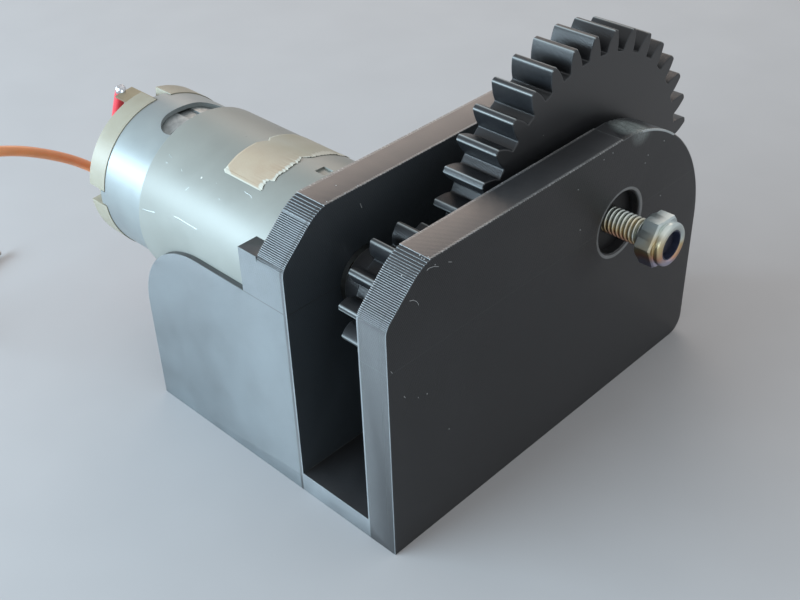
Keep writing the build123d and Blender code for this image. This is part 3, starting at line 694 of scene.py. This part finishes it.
def stair_cutter(name, x, z, outside, span, layers):
    """A prism along Y that trims a slope to a staircase of one step a layer.

    The slope runs up through the points x, z. Each layer stands back to the slope's place at
    its own top, and the prism fills what lies between the steps and the x called outside.
    """
    height = PLATE_HIGH[2] / layers
    tops = np.arange(int(np.ceil(z[0] / height)) + 1, layers + 1) * height
    tops[-1] = min(tops[-1], z[-1])
    steps = np.interp(tops, z, x)
    # Each layer's side is a bead: it draws in by up to 0.06 mm at its foot and half as much at
    # its top, and by less than the step itself. On the steep slope it draws in less.
    run = np.abs(np.gradient(steps))
    draw = np.minimum(0.06 * MM, 0.7 * run) * np.interp(run, (0.31 * MM, 0.42 * MM), (0.3, 1.0))
    bead = np.copysign(draw, steps.mean() - outside)[:, None] * (1.0, 0.0, 0.0, 0.5)
    # Where the steps are narrower than 0.1 mm the print looks smooth: there the side leans
    # from the step below to its own.
    below = np.concatenate([[np.interp(tops[0] - height, z, x)], steps[:-1]])
    rise = np.array([1.0, 0.65, 0.2, 0.0])  # places up a layer's side, from its top down
    side = np.where(run[:, None] < 0.1 * MM, (below - steps)[:, None] * rise, bead)
    outline = np.stack([(steps[:, None] + side).ravel(),
                        (tops[:, None] - height * rise).ravel()], axis=1)
    outline[-1, 1] += MM
    outline = np.concatenate([[(outside, outline[0, 1])], outline, [(outside, outline[-1, 1])]])
    count = len(outline)
    points = np.concatenate([np.insert(outline, 1, y, axis=1) for y in span])
    faces = ring_faces(2, count).tolist()
    faces += [list(range(count)), list(range(count, 2 * count))]
    return mesh_piece(name, points, faces)


def bracket_rounding(edge):
    """Edges along the layers keep a narrow bead, and the outer corners are rounded most."""
    first, second = (vertex.co for vertex in edge.verts)
    if abs(first.z - second.z) < 1e-5:
        return 0.17
    return 1.0 if max(first.y, second.y) < PLATE_LOW[1] + 1e-5 else 0.5


class MOTOR_OT_bracket(bpy.types.Operator):
    """Makes the printed bracket with rounded upright edges and stepped slopes"""
    bl_idname = "geared_motor.bracket"
    bl_label = "Bracket"

    def execute(self, context):
        sizes = context.scene.motor_bracket
        bracket = rounded_copy("printed_bracket", "gearbox_bracket", sizes.edge, bracket_rounding)

        top, front, rear = PLATE_HIGH[2], PLATE_LOW[0], PLATE_HIGH[0]
        start, end = (front, top - sizes.chamfer_z), (front + sizes.chamfer_x, top)
        # Below the top an arc leaves the slope and flattens to the crest angle, which spreads
        # the last nine steps.
        steep = math.atan2(sizes.chamfer_z, sizes.chamfer_x)
        fall = np.linspace(steep, sizes.crest_angle, 40)
        rise = sizes.crest_radius * (np.cos(fall) - math.cos(steep))
        crest_x = (end[0] - rise[-1] / math.tan(steep)
                   + sizes.crest_radius * (math.sin(steep) - np.sin(fall)))
        slope = np.concatenate([rounded_corner((front, 0), start, end, sizes.blend),
                                np.stack([crest_x, top - rise[-1] + rise], axis=1)])
        far = rounded_corner((rear, 0), (rear, top), (front, top), sizes.rear_radius, 120)
        cutters = [stair_cutter(name, *line.T, outside, (PLATE_LOW[1] - MM, CAN_FRONT),
                                sizes.layers)
                   for name, line, outside in (("front_steps", slope, front - MM),
                                               ("rear_steps", far, rear + MM))]
        for cutter in cutters:
            trim = bracket.modifiers.new("Layer steps", "BOOLEAN")
            trim.operation, trim.object, trim.solver = "DIFFERENCE", cutter, "EXACT"
        finished = bpy.data.meshes.new_from_object(
            bracket.evaluated_get(context.evaluated_depsgraph_get()))
        bracket.modifiers.clear()
        bracket.data = finished
        for cutter in cutters:
            bpy.data.objects.remove(cutter)
        shade(finished, 32)
        place(bracket, "root", ("gearbox_bracket",),
              black_print("Black PLA, bracket print", "Z", PLATE_HIGH[2] / sizes.layers, True))
        return {"FINISHED"}


# ---------------------------------------------------------------- gears
def tooth_outline(sizes, teeth, phase, undercut):
    """Closed outline of a spur gear about its axis, as x and z.

    Each tooth runs along its root circle, up an involute flank, over its tip arc and down again.
    The outline is then sampled evenly and averaged over 0.4 mm, as a 0.4 mm nozzle rounds it.
    """
    pitch_r = sizes.module * teeth / 2
    base_r = pitch_r * math.cos(sizes.pressure_angle)
    tip_r = pitch_r + sizes.module
    root_r = pitch_r - 1.25 * sizes.module
    radii = np.linspace(max(base_r, root_r + 0.1 * sizes.module), tip_r, 12)
    at_pitch = (math.pi * sizes.module / 2 - sizes.backlash) / (2 * pitch_r)
    turn = np.arccos(np.minimum(1.0, base_r / radii))
    half = (at_pitch + math.tan(sizes.pressure_angle) - sizes.pressure_angle
            - (np.tan(turn) - turn))
    step = 2 * math.pi / teeth
    root_turn = np.linspace(-step / 2, undercut / root_r - half[0], 5)
    tip_turn = np.linspace(-half[-1], half[-1], 5)[1:-1]
    turns = np.concatenate([root_turn, -half, tip_turn, half[::-1], -root_turn[::-1][:-1]])
    rs = np.concatenate([[root_r] * 5, radii, [tip_r] * 3, radii[::-1], [root_r] * 4])
    turns = (turns[None, :] + phase + step * np.arange(teeth)[:, None]).ravel()
    line = np.tile(rs, teeth) * np.exp(1j * turns)
    line = np.append(line, line[0])
    along = np.concatenate([[0], np.cumsum(np.abs(np.diff(line)))])
    count = teeth * 64
    line = np.interp(np.arange(count) * along[-1] / count, along, line)
    spread = np.zeros(count)
    spread[np.arange(-3, 4)] = np.hanning(7) / np.hanning(7).sum()
    smooth = np.fft.ifft(np.fft.fft(line) * np.fft.fft(spread))
    return smooth.real, smooth.imag


def inward(x, z, depth):
    """The outline moved inwards by depth, square to itself."""
    dx, dz = np.roll(x, -1) - np.roll(x, 1), np.roll(z, -1) - np.roll(z, 1)
    size = np.hypot(dx, dz)
    return x - dz / size * depth, z + dx / size * depth


def gear_rows(x, z, edge):
    """Loops of a gear's rim from the near face to the far face: quarter circles of the given
    radius at both ends and the outline carried along Y between them."""
    rows = []
    for way, face in ((1, GEAR_NEAR), (-1, GEAR_FAR)):
        loops = [(*inward(x, z, 1.3 * edge), face)]
        loops += [(*inward(x, z, edge * (1 - math.sin(t))),
                   face + way * edge * (1 - math.cos(t))) for t in np.linspace(0, math.pi / 2, 5)]
        rows += loops[::way]
    return rows


def round_loop(outline, radius, sides=0):
    """A circle, or a polygon with a side on top and the radius as its inner one, with as many
    points as an outline and from the same direction."""
    x, z = outline
    turn = math.atan2(z[0], x[0]) + 2 * math.pi * np.arange(len(x)) / len(x)
    if sides:
        step = 2 * math.pi / sides
        radius = radius / np.cos((turn + math.pi / 2 + step / 2) % step - step / 2)
    return radius * np.cos(turn), radius * np.sin(turn)


def crest(x, z):
    """How sharply an outline turns outwards at each point, as the fourth power of its share of
    the sharpest turn."""
    run = np.stack([np.roll(x, -1) - x, np.roll(z, -1) - z])
    run /= np.linalg.norm(run, axis=0)
    before = np.roll(run, 1, axis=1)
    turn = np.clip(before[0] * run[1] - before[1] * run[0], 0, None)
    return (turn / turn.max()) ** 4


def place_gear(name, axis, loops, body, node, material):
    """Places a closed surface through loops of x, z and y about an axis along Y, with the
    crests of the teeth as a point attribute. The loops in the end faces and along the pinion's
    hub have none."""
    points = np.stack([np.stack([axis[0] + x, np.full_like(x, y), axis[1] + z], axis=-1)
                       for x, z, y in loops])
    piece = mesh_piece(name, points, ring_faces(*points.shape[:2], True))
    set_attribute(piece.data, "crest", "POINT", np.concatenate(
        [crest(x, z) if GEAR_NEAR < y < GEAR_FAR else np.zeros_like(x) for x, z, y in loops]))
    place(piece, body, (node,), material)


class MOTOR_OT_gears(bpy.types.Operator):
    """Makes the output gear and the motor's pinion"""
    bl_idname = "geared_motor.gears"
    bl_label = "Gears"

    def execute(self, context):
        sizes = context.scene.motor_gears
        material = black_print("Black PLA, gear print", "Y", 0.28 * MM)

        rim = tooth_outline(sizes, sizes.gear_teeth, sizes.gear_phase, 0.0)
        bore, web = round_loop(rim, 3.0 * MM), round_loop(rim, 20.0 * MM)
        pocket, floor = round_loop(rim, 5.05 * MM, 6), GEAR_FAR - 2.5 * MM
        place_gear("spur_gear", GEAR_AXIS, [
            (*bore, floor), (*bore, GEAR_NEAR), (*web, GEAR_NEAR), *gear_rows(*rim, sizes.edge),
            (*web, GEAR_FAR), (*pocket, GEAR_FAR), (*pocket, floor)],
            "output", "output_gear", material)

        rim = tooth_outline(sizes, sizes.pinion_teeth, sizes.pinion_phase, sizes.undercut)
        bore, hub, lip = (round_loop(rim, radius) for radius in (
            1.5875 * MM, sizes.hub_radius, sizes.hub_radius - sizes.edge))
        place_gear("pinion_gear", MOTOR_AXIS, [
            (*bore, PINION_FAR), (*bore, GEAR_NEAR), *gear_rows(*rim, sizes.edge),
            (*hub, GEAR_FAR), (*hub, PINION_FAR - sizes.edge), (*lip, PINION_FAR)],
            "rotor", "motor_pinion", material)
        return {"FINISHED"}


# ---------------------------------------------------------------- bolt and lock nut
# Direction of one corner of the nut and of the bolt's head.
HEX_PHASE = math.radians(116)


def turned_rows(turn, flats, seat, stations):
    """Rows of a turned blank cut to a hexagon. A station is a radius and a distance from the
    seat, in millimetres, and the share of the hexagon that cuts it; a share of 0 leaves the
    turned circle."""
    side = flats / 2 / np.cos((turn - HEX_PHASE) % (math.pi / 3) - math.pi / 6)
    return [about_axis(GEAR_AXIS, np.minimum(radius * MM, side * share if share else np.inf),
                       turn, seat + y * MM) for radius, y, share in stations]


class MOTOR_OT_bolt(bpy.types.Operator):
    """Makes the threaded output bolt and its hexagon head"""
    bl_idname = "geared_motor.bolt"
    bl_label = "Bolt"

    def execute(self, context):
        sizes = context.scene.motor_threads
        seat = BOLT_TOP - 4.0 * MM
        turn = HEX_PHASE + np.linspace(0, 2 * math.pi, 48, endpoint=False)
        # One pitch of the thread: a narrow root, 60 degree flanks and a wide rounded crest.
        shares = np.linspace(0, 1, 12, endpoint=False)
        heights = np.sin(math.pi * shares) ** 0.38
        thread_top = seat - 1.2 * MM
        pitches = int((thread_top - BOLT_END) / sizes.pitch) + 2
        # Each row winds once round the bolt and rises by one pitch, so that it follows the
        # helix; both ends are cut off square.
        share = (np.arange(pitches)[:, None] + shares).reshape(-1, 1)
        y = BOLT_END + sizes.pitch * (share - (turn - HEX_PHASE) / (2 * math.pi))
        y = np.clip(y, BOLT_END, thread_top)
        run_out = np.clip((thread_top - y) / MM, 0.0, 1.0)
        radius = sizes.major - sizes.depth * (1 - np.tile(heights, pitches)[:, None]) * run_out
        radius = np.minimum(radius, sizes.major - sizes.depth * 1.15 + (y - BOLT_END) * 0.8)
        thread = about_axis(GEAR_AXIS, radius, turn, y)
        rows, columns = thread.shape[:2]
        i, j = np.meshgrid(np.arange(rows - 1), np.arange(columns), indexing="ij")
        # Past the last column a row goes on as the row one pitch lower.
        back, after = np.where(j == columns - 1, len(shares), 0), (j + 1) % columns
        winding = np.stack([i * columns + j, np.maximum(i - back, 0) * columns + after,
                            np.maximum(i + 1 - back, 0) * columns + after,
                            (i + 1) * columns + j], axis=-1).reshape(-1, 4)
        major, full = sizes.major / MM, sizes.flats / math.sqrt(3) / MM
        head = turned_rows(turn, sizes.flats, seat, [
            (major, -1.2, 0), (major, 0, 0), (4.6, 0, 0), (full, 0.05, 1), (full, 3.5, 1),
            (full - 0.2, 3.62, 1), (full - 0.9, 4.0, 1), (4.2, 4.0, 0), (3.9, 3.9, 0),
            (0, 3.88, 0)])
        tip = turned_rows(turn, sizes.flats, BOLT_END, [(0, 0, 0), (radius[0, 0] / MM, 0, 0)])
        points = np.concatenate([thread, head, tip]).reshape(-1, 3)
        faces = np.concatenate([winding, ring_faces(len(head), columns) + rows * columns,
                                ring_faces(len(tip), columns) + (rows + len(head)) * columns])
        bolt = mesh_piece("threaded_bolt", points, faces, 40.0)
        place(bolt, "output", ("output_bolt",),
              passivated_zinc("Passivated zinc bolt", BOLT_END))
        return {"FINISHED"}


class MOTOR_OT_lock_nut(bpy.types.Operator):
    """Makes the lock nut with its rolled collar"""
    bl_idname = "geared_motor.lock_nut"
    bl_label = "Lock nut"

    def execute(self, context):
        sizes = context.scene.motor_threads
        turn = HEX_PHASE + np.linspace(0, 2 * math.pi, 96, endpoint=False)
        full = sizes.flats / math.sqrt(3) / MM
        insert, end = (INSERT_SEAT - NUT_SEAT) / MM, (NUT_END - NUT_SEAT) / MM
        stations = [(2.99, insert, 0), (2.99, -0.3, 0), (3.3, 0, 0), (4.55, 0, 0),
                    (4.9, -0.06, 1), (full, -0.52, 1), (full, -3.7, 1),
                    (full - 0.15, -3.78, 0.995), (full - 0.45, -4.14, 0.96), (4.70, -4.2, 0),
                    (4.58, -4.3, 0), (4.60, -4.46, 0), (4.72, -4.62, 0)]
        # The rolled rim is a half circle of 0.8 mm from the collar's outside to the insert.
        stations += [(3.92 + 0.8 * math.cos(t), end + 0.8 - 0.8 * math.sin(t), 0)
                     for t in np.linspace(0, math.pi, 19)]
        stations += [(3.12, insert, 0), stations[0]]
        rows = turned_rows(turn, sizes.flats, NUT_SEAT, stations)
        nut = mesh_piece("collared_nut", rows, ring_faces(len(rows), 96, True), 14.0)
        place(nut, "output", ("lock_nut",), passivated_zinc())
        return {"FINISHED"}


# ---------------------------------------------------------------- motor
def on_ring(path, sink):
    """Points in millimetres under the flux ring's outside, from pairs of an angle in degrees
    round the motor's axis and a distance in millimetres behind the can's front."""
    angle, behind = np.transpose(path)
    return about_axis(MOTOR_AXIS, RING_R - sink, np.radians(angle), CAN_FRONT + behind * MM) / MM


class MOTOR_OT_flux_ring(bpy.types.Operator):
    """Makes the rolled flux ring with its square stamped recess, its seam and its scratches"""
    bl_idname = "geared_motor.flux_ring"
    bl_label = "Flux ring"

    def execute(self, context):
        # The recess and the seam each need lines of the grid at the top and foot of their walls.
        lines = [85.4, 85.5, 92.5, 92.6, 268.95, 269.0, 269.4, 269.45]
        degrees = np.unique(np.concatenate([np.linspace(0, 360, 180, endpoint=False), lines]))
        recess = CAN_FRONT + np.array([1.5, 1.53, 4.17, 4.2]) * MM
        edge = 0.25 * MM
        corner = np.linspace(0, math.pi / 2, 5)
        radii = np.concatenate([[CAN_R], RING_R - edge * (1 - np.sin(corner)), [RING_R] * 4,
                                RING_R - edge * (1 - np.cos(corner)), [CAN_R, CAN_R]])
        y = np.concatenate([[RING_START], RING_START + edge * (1 - np.cos(corner)), recess,
                            RING_END - edge * (1 - np.sin(corner)), [RING_END, RING_START]])
        inside = (degrees > lines[0] + 0.05) & (degrees < lines[3] - 0.05)
        level = (y > recess[0] + 0.01 * MM) & (y < recess[3] - 0.01 * MM) & (radii == RING_R)
        slit = (degrees > lines[5] - 0.02) & (degrees < lines[6] + 0.02)
        wall = radii > CAN_R + 0.5 * MM
        depth = np.maximum(0.45 * MM * (inside & level[:, None]),
                           0.35 * MM * (slit & wall[:, None]))
        rows = about_axis(MOTOR_AXIS, radii[:, None] - depth, np.radians(degrees), y[:, None])
        ring = mesh_piece("rolled_flux_ring", rows, ring_faces(len(rows), len(degrees), True))
        place(ring, "root", ("flux_ring",),
              plated_steel("Dull zinc plated ring", "#979b96", "#8c908b", 0.43, 0.12))

        # Scratches: raised burrs, drawn as wires sunk into the ring until a sliver shows, from
        # an angle in degrees and a distance behind the can's front.
        paths = [[(126.8, 37.1), (128.1, 35.5)], [(131.2, 31.7), (132.6, 30.9)],
                 [(131.9, 36.6), (132.0, 35.7)], [(141.7, 27.8), (138.3, 27.1)],
                 [(166.3, 39.5), (165.3, 37.4), (163.5, 34.7)],
                 [(159.6, 29.5), (158.9, 27.5), (159.1, 25.8), (159.2, 24.2), (159.3, 20.9)],
                 [(125.3, 13.7), (125.7, 13.0), (125.7, 12.0), (126.3, 11.2), (127.3, 10.6)],
                 [(129.4, 21.1), (128.5, 20.9)], [(136.0, 18.5), (136.8, 17.9)]]
        radius, shown = 0.16, 0.022
        burrs = strands("ring_scratches", [on_ring(path, (radius - shown) * MM)
                                           for path in paths], radius)
        place(burrs, "root", (),
              plain_metal("Bare scratched steel", "#bfc6c5", "#a3aaa9", 0.40))
        return {"FINISHED"}


class MOTOR_OT_vent_strips(bpy.types.Operator):
    """Makes the steel strips that show under the can's two vents"""
    bl_idname = "geared_motor.vent_strips"
    bl_label = "Vent strips"

    def execute(self, context):
        # Each strip is a rectangle of two radii and two places along Y, carried round the axis
        # between two directions from the middle of its vent.
        grids = [about_axis(MOTOR_AXIS, (inner + np.array([0.0, 0.45, 0.45, 0.0])) * MM,
                            np.radians(np.linspace(vent + first, vent + last, 20))[:, None],
                            CAN_FRONT + np.array([start, start, end, end]) * MM)
                 for vent in (88.0, 268.0) for first, last, inner, start, end in (
                     (-29, 29, 16.5, 39.3, 42.0), (5, 29, 16.5, 43.1, 48.6),
                     (-29, -7, 16.5, 43.1, 48.6), (-9, 7, 16.05, 42.6, 48.6))]
        ends = [(0, 1, 2, 3), (79, 78, 77, 76)]
        strips = copies("vent_strips", grids, np.concatenate([ring_faces(20, 4), ends]))
        place(strips, "root", (),
              plain_metal("Galvanised steel strip", "#b9bdbd", "#9da2a2", 0.5, 700.0))
        return {"FINISHED"}


class MOTOR_OT_end_bell(bpy.types.Operator):
    """Makes the moulded end bell with rounded edges"""
    bl_idname = "geared_motor.end_bell"
    bl_label = "End bell"

    def execute(self, context):
        bell = rounded_copy("moulded_end_bell", "end_bell", 0.35 * MM)
        place(bell, "root", ("end_bell",),
              plain_solid("Cream moulded nylon", "#a7a494", "#a09c8b", 0.42, 160.0, 0.2))
        return {"FINISHED"}


class MOTOR_OT_solder(bpy.types.Operator):
    """Makes the two small uneven beads of solder on the terminals"""
    bl_idname = "geared_motor.solder"
    bl_label = "Solder beads"

    def execute(self, context):
        turn = np.linspace(0, 2 * math.pi, 32, endpoint=False)
        fall = np.linspace(0, math.pi, 18)[:, None]
        grids = []
        for route, seed, out_way in ((RED_ROUTE, 0.0, 1), (ORANGE_ROUTE, 2.1, -1)):
            # A flattened ball whose radius swells and pinches in three slow waves.
            swell = (1 + 0.12 * np.sin(3 * turn + seed) * np.sin(fall)
                     + 0.10 * np.cos(2 * fall + seed) + 0.05 * np.sin(5 * turn + 3 * fall))
            ball = np.stack([1.3 * swell * np.sin(fall) * np.cos(turn),
                             1.5 * swell * np.sin(fall) * np.sin(turn),
                             out_way * (1.25 * swell * np.cos(fall) + 0.1)], axis=-1)
            grids.append((ball - (0, 0.35, 0)) * MM + route[0])
        beads = copies("solder_beads", grids, ring_faces(18, 32), 180.0)
        place(beads, "root", ("solder_joints",),
              plain_metal("Bright solder", "#e2e2e2", "#cfcfd2", 0.22, 250.0))
        return {"FINISHED"}


class MOTOR_OT_wisps(bpy.types.Operator):
    """Lays the fine printed wisps and specks of dust on the bracket"""
    bl_idname = "geared_motor.wisps"
    bl_label = "Wisps and dust"

    def execute(self, context):
        # In millimetres: hairs and specks as x and z on the outer wall, one hair on the inner
        # plate's wall, and crumbs as x and y on the plates' tops.
        outer, inner_wall, top = PLATE_LOW[1] / MM, CAN_FRONT / MM - 7.4, PLATE_HIGH[2] / MM
        hairs = [[(-58.2, 62.1), (-57.6, 62.4), (-56.3, 62.1), (-55.0, 61.4)],
                 [(-62.6, 58.2), (-61.6, 57.9), (-60.8, 57.2), (-60.4, 56.6), (-60.2, 55.9)],
                 [(-52.7, 61.2), (-51.7, 60.7)], [(-67.6, 45.9), (-67.2, 45.2)],
                 [(-64.6, 38.4), (-64.2, 37.7)], [(-61.0, 35.9), (-60.8, 35.5)]]
        specks = [(-56.0, 62.3), (-4.8, 62.5), (-7.7, 62.2), (-15.6, 59.0), (8.1, 56.6),
                  (7.3, 55.1), (13.7, 57.6), (14.7, 44.0), (-14.0, 49.1), (-58.6, 35.1),
                  (-52.7, 22.5)]
        crumbs = [(-50.9, 13.0), (-48.3, 9.9), (-51.7, 9.7), (-56.0, 10.1), (-57.9, -15.4),
                  (-57.9, -16.0), (-57.0, -16.1), (-57.5, -14.6)]
        paths = [[(x, outer, z) for x, z in hair] for hair in hairs]
        paths += [[(-48.3, inner_wall, 60.5), (-47.9, inner_wall, 59.2)]]
        dots = [(x, outer, z) for x, z in specks] + [(x, y, top - 0.03) for x, y in crumbs]
        dots += [(-61.9, -14.5, 62.15)]
        radii = [0.05] * len(paths) + [0.11] * len(dots)
        paths += [[(x - 0.12, y, z), (x + 0.12, y, z + 0.04)] for x, y, z in dots]
        place(strands("print_wisps", paths, radii), "root", (),
              plain_solid("Pale plastic wisps", "#cfd4d6", "#b4babd", 0.5))
        return {"FINISHED"}


class MOTOR_OT_label(bpy.types.Operator):
    """Lays the torn paper label on the flux ring"""
    bl_idname = "geared_motor.label"
    bl_label = "Torn label"

    def execute(self, context):
        # The two long edges, as distances behind the can's front at angles round the ring, and
        # the width of the strip along the torn edge where the printed skin came off.
        angle = np.linspace(121.0, 48.0, 260)
        rear, torn, strip = (np.interp(angle, *zip(*line)) * MM for line in (
            [(48, 21.0), (60.3, 21.4), (76.8, 21.25), (83.3, 21.1), (84.6, 20.6), (86.4, 20.2),
             (92.9, 21.45), (107, 21.65), (119.7, 21.35), (121, 20.6)],
            [(48, 9.2), (59.4, 8.0), (73.1, 8.4), (82.4, 8.6), (84.9, 9.35), (86.5, 10.1),
             (90.8, 9.1), (102, 8.85), (109, 9.2), (111.7, 8.8), (112.8, 10.1), (115.1, 10.6),
             (119.3, 9.9), (121, 10.0)],
            [(48, 1.2), (60, 1.7), (70, 2.1), (79, 1.4), (84, 0.35), (90, 0.8), (101, 1.0),
             (109, 0.6), (113, 1.0), (121, 1.3)]))
        ragged = np.random.default_rng(7).normal(0.0, 1.0, angle.size)
        ragged = np.convolve(ragged, np.hanning(7) / 1.75, "same")
        torn += ragged * 0.12 * MM
        strip *= 1 + 0.12 * ragged
        # Stations lie closer together towards the torn edge.
        share = np.linspace(0, 1, 40)[:, None] ** 1.6
        across = (rear - torn) * share
        # The white core shows along the torn edge, and along the label's end with a larger
        # corner.
        from_end = RING_R * np.radians(121.0 - angle)
        corner = 0.28 * MM + 1.3 * MM * np.clip(share * 5 - 4, 0, 1)
        bare = np.maximum(np.clip((strip - across) / (0.2 * MM) + 0.5, 0, 1),
                          np.clip((corner - from_end) / (0.15 * MM) + 0.5, 0, 1))
        curl = 0.10 * (1 - share) ** 8 * (1 + 0.5 * ragged)
        lift = 0.05 + curl + 0.12 * (angle > 118.5) * share - 0.03 * bare
        points = about_axis(MOTOR_AXIS, RING_R + lift * MM, np.radians(angle),
                            CAN_FRONT + torn + across)
        label = mesh_piece("paper_label", points, ring_faces(40, 260, close_columns=False))
        set_attribute(label.data, "bare", "POINT", bare.ravel())
        wall = label.modifiers.new("Paper thickness", "SOLIDIFY")
        wall.thickness, wall.offset = 0.06 * MM, 0.0
        place(label, "root", ("motor_label",), torn_paper())
        return {"FINISHED"}


def torn_paper():
    """Label paper: tan towards -X, greyer over the top, and pale where the mesh marks its bare
    core."""
    material, add, where = new_material("Torn label paper")
    stains, fibres = (add("TexNoise", {"Vector": where, "Scale": scale, "Detail": 3.0})
                      for scale in (160.0, 2400.0))
    bump = add("Bump", {"Height": fibres, "Strength": 0.4, "Distance": 0.05 * MM})
    tan, grey = (add("ValToRGB", {"Fac": stains}, stops=[(0.35, dark), (0.65, pale)])
                 for dark, pale in (("#b3a18c", "#baad98"), ("#b0af9f", "#b6b6aa")))
    towards_minus_x = add("MapRange", {"Value": add("SeparateXYZ", {0: where}), "From Min": -0.0445,
                              "From Max": -0.0525})
    colour = add("Mix", {"Factor": towards_minus_x, 6: grey, 7: tan}, data_type="RGBA")
    core = add("Attribute", attribute_name="bare").outputs["Fac"]
    return finish_material(material, {"Base Color": paint(add, colour, [((core,), "#c9cabf")]),
                                      "Roughness": 0.7, "Normal": bump})


class MOTOR_OT_motor_finish(bpy.types.Operator):
    """Gives the motor's CAD pieces their metals and mouldings"""
    bl_idname = "geared_motor.motor_finish"
    bl_label = "Motor finishes"

    def execute(self, context):
        finish_nodes(plated_steel, {
            "motor_can": ("Bright zinc plated can", "#9ea6a6", "#90989a", 0.42, 0.38)})
        finish_nodes(plain_metal, {
            "terminals": ("Tinned brass tag", "#b0a78f", "#a89e85", 0.42, 300.0),
            "brush_holders": ("Nickel plated brass", "#c0c2c4", "#a4a7aa", 0.35),
            "motor_shaft": ("Ground shaft steel", "#c6c6c8", "#adadb0", 0.25, 1500.0),
            "lamination_stack": ("Stacked electrical steel", "#8b8c90", "#6f7074", 0.45),
            "windings": ("Enamelled copper wire", "#b9622f", "#8c4320", 0.30, 1200.0),
            "commutator_segments": ("Turned copper", "#d78a63", "#b86f4c", 0.28, 1400.0),
            "front_bearing rear_bearing": ("Sintered bronze", "#a98352", "#86653d", 0.5, 1800.0),
            "brush_springs magnet_clips": ("Spring steel", "#a9a9ac", "#8e8e92", 0.32),
            "red_lead_end orange_lead_end": ("Tinned copper strands", "#d4d0c8", "#b5b0a8", 0.3,
                                             1200.0)})
        finish_nodes(plain_solid, {
            "field_magnets": ("Sintered ferrite", "#3a3a3d", "#2c2c2f", 0.7, 1500.0),
            "carbon_brushes": ("Pressed carbon", "#2b2b2b", "#1e1e1e", 0.6, 1800.0),
            "front_sleeve rear_sleeve commutator_core": ("Phenolic fibre", "#8a6548", "#6f4e36",
                                                         0.6, 900.0)})
        return {"FINISHED"}


class MOTOR_OT_gearbox_finish(bpy.types.Operator):
    """Gives the bushes and the small pieces on the bolt their finishes"""
    bl_idname = "geared_motor.gearbox_finish"
    bl_label = "Gearbox finishes"

    def execute(self, context):
        finish_nodes(plain_solid, {
            "outer_bush inner_bush": ("Black bearing polymer", "#151516", "#0e0e0f", 0.5, 1400.0),
            "lock_nut_insert": ("Navy blue nylon", "#3b4159", "#2f344b", 0.36, 900.0, 0.1)})
        finish_nodes(bpy.data.materials.get, {
            "gear_nut near_shim spacer_sleeve": ("Passivated zinc plate",)})
        return {"FINISHED"}


class MOTOR_PT_panel(bpy.types.Panel):
    """Lists the steps in the order in which they run"""
    bl_label = "Geared Motor"
    bl_idname = "MOTOR_PT_panel"
    bl_space_type = "VIEW_3D"
    bl_region_type = "UI"
    bl_category = "Geared Motor"

    def draw(self, context):
        for operator in OPERATORS:
            self.layout.operator(operator.bl_idname)
        for group in GROUPS:
            settings = getattr(context.scene, group)
            box = self.layout.box()
            for name in settings.__annotations__:
                box.prop(settings, name)


GROUPS = {"motor_bracket": BracketSizes, "motor_gears": GearSizes, "motor_threads": ThreadSizes,
          "motor_colours": FinishColours, "motor_stage": StageSizes}
OPERATORS = (MOTOR_OT_stage, MOTOR_OT_leads, MOTOR_OT_bracket, MOTOR_OT_gears, MOTOR_OT_bolt,
             MOTOR_OT_lock_nut, MOTOR_OT_flux_ring, MOTOR_OT_label, MOTOR_OT_vent_strips,
             MOTOR_OT_end_bell, MOTOR_OT_solder, MOTOR_OT_wisps, MOTOR_OT_motor_finish,
             MOTOR_OT_gearbox_finish)


def register():
    for item in (*GROUPS.values(), *OPERATORS, MOTOR_PT_panel):
        bpy.utils.register_class(item)
    for name, group in GROUPS.items():
        setattr(bpy.types.Scene, name, PointerProperty(type=group))


def unregister():
    for name in GROUPS:
        delattr(bpy.types.Scene, name)
    for item in reversed((*GROUPS.values(), *OPERATORS, MOTOR_PT_panel)):
        bpy.utils.unregister_class(item)


def main():
    """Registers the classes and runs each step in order."""
    register()
    for operator in OPERATORS:
        step = operator.bl_idname.split(".")[1]
        getattr(bpy.ops.geared_motor, step)()
    bpy.context.view_layer.update()


if __name__ == "__main__":
    main()
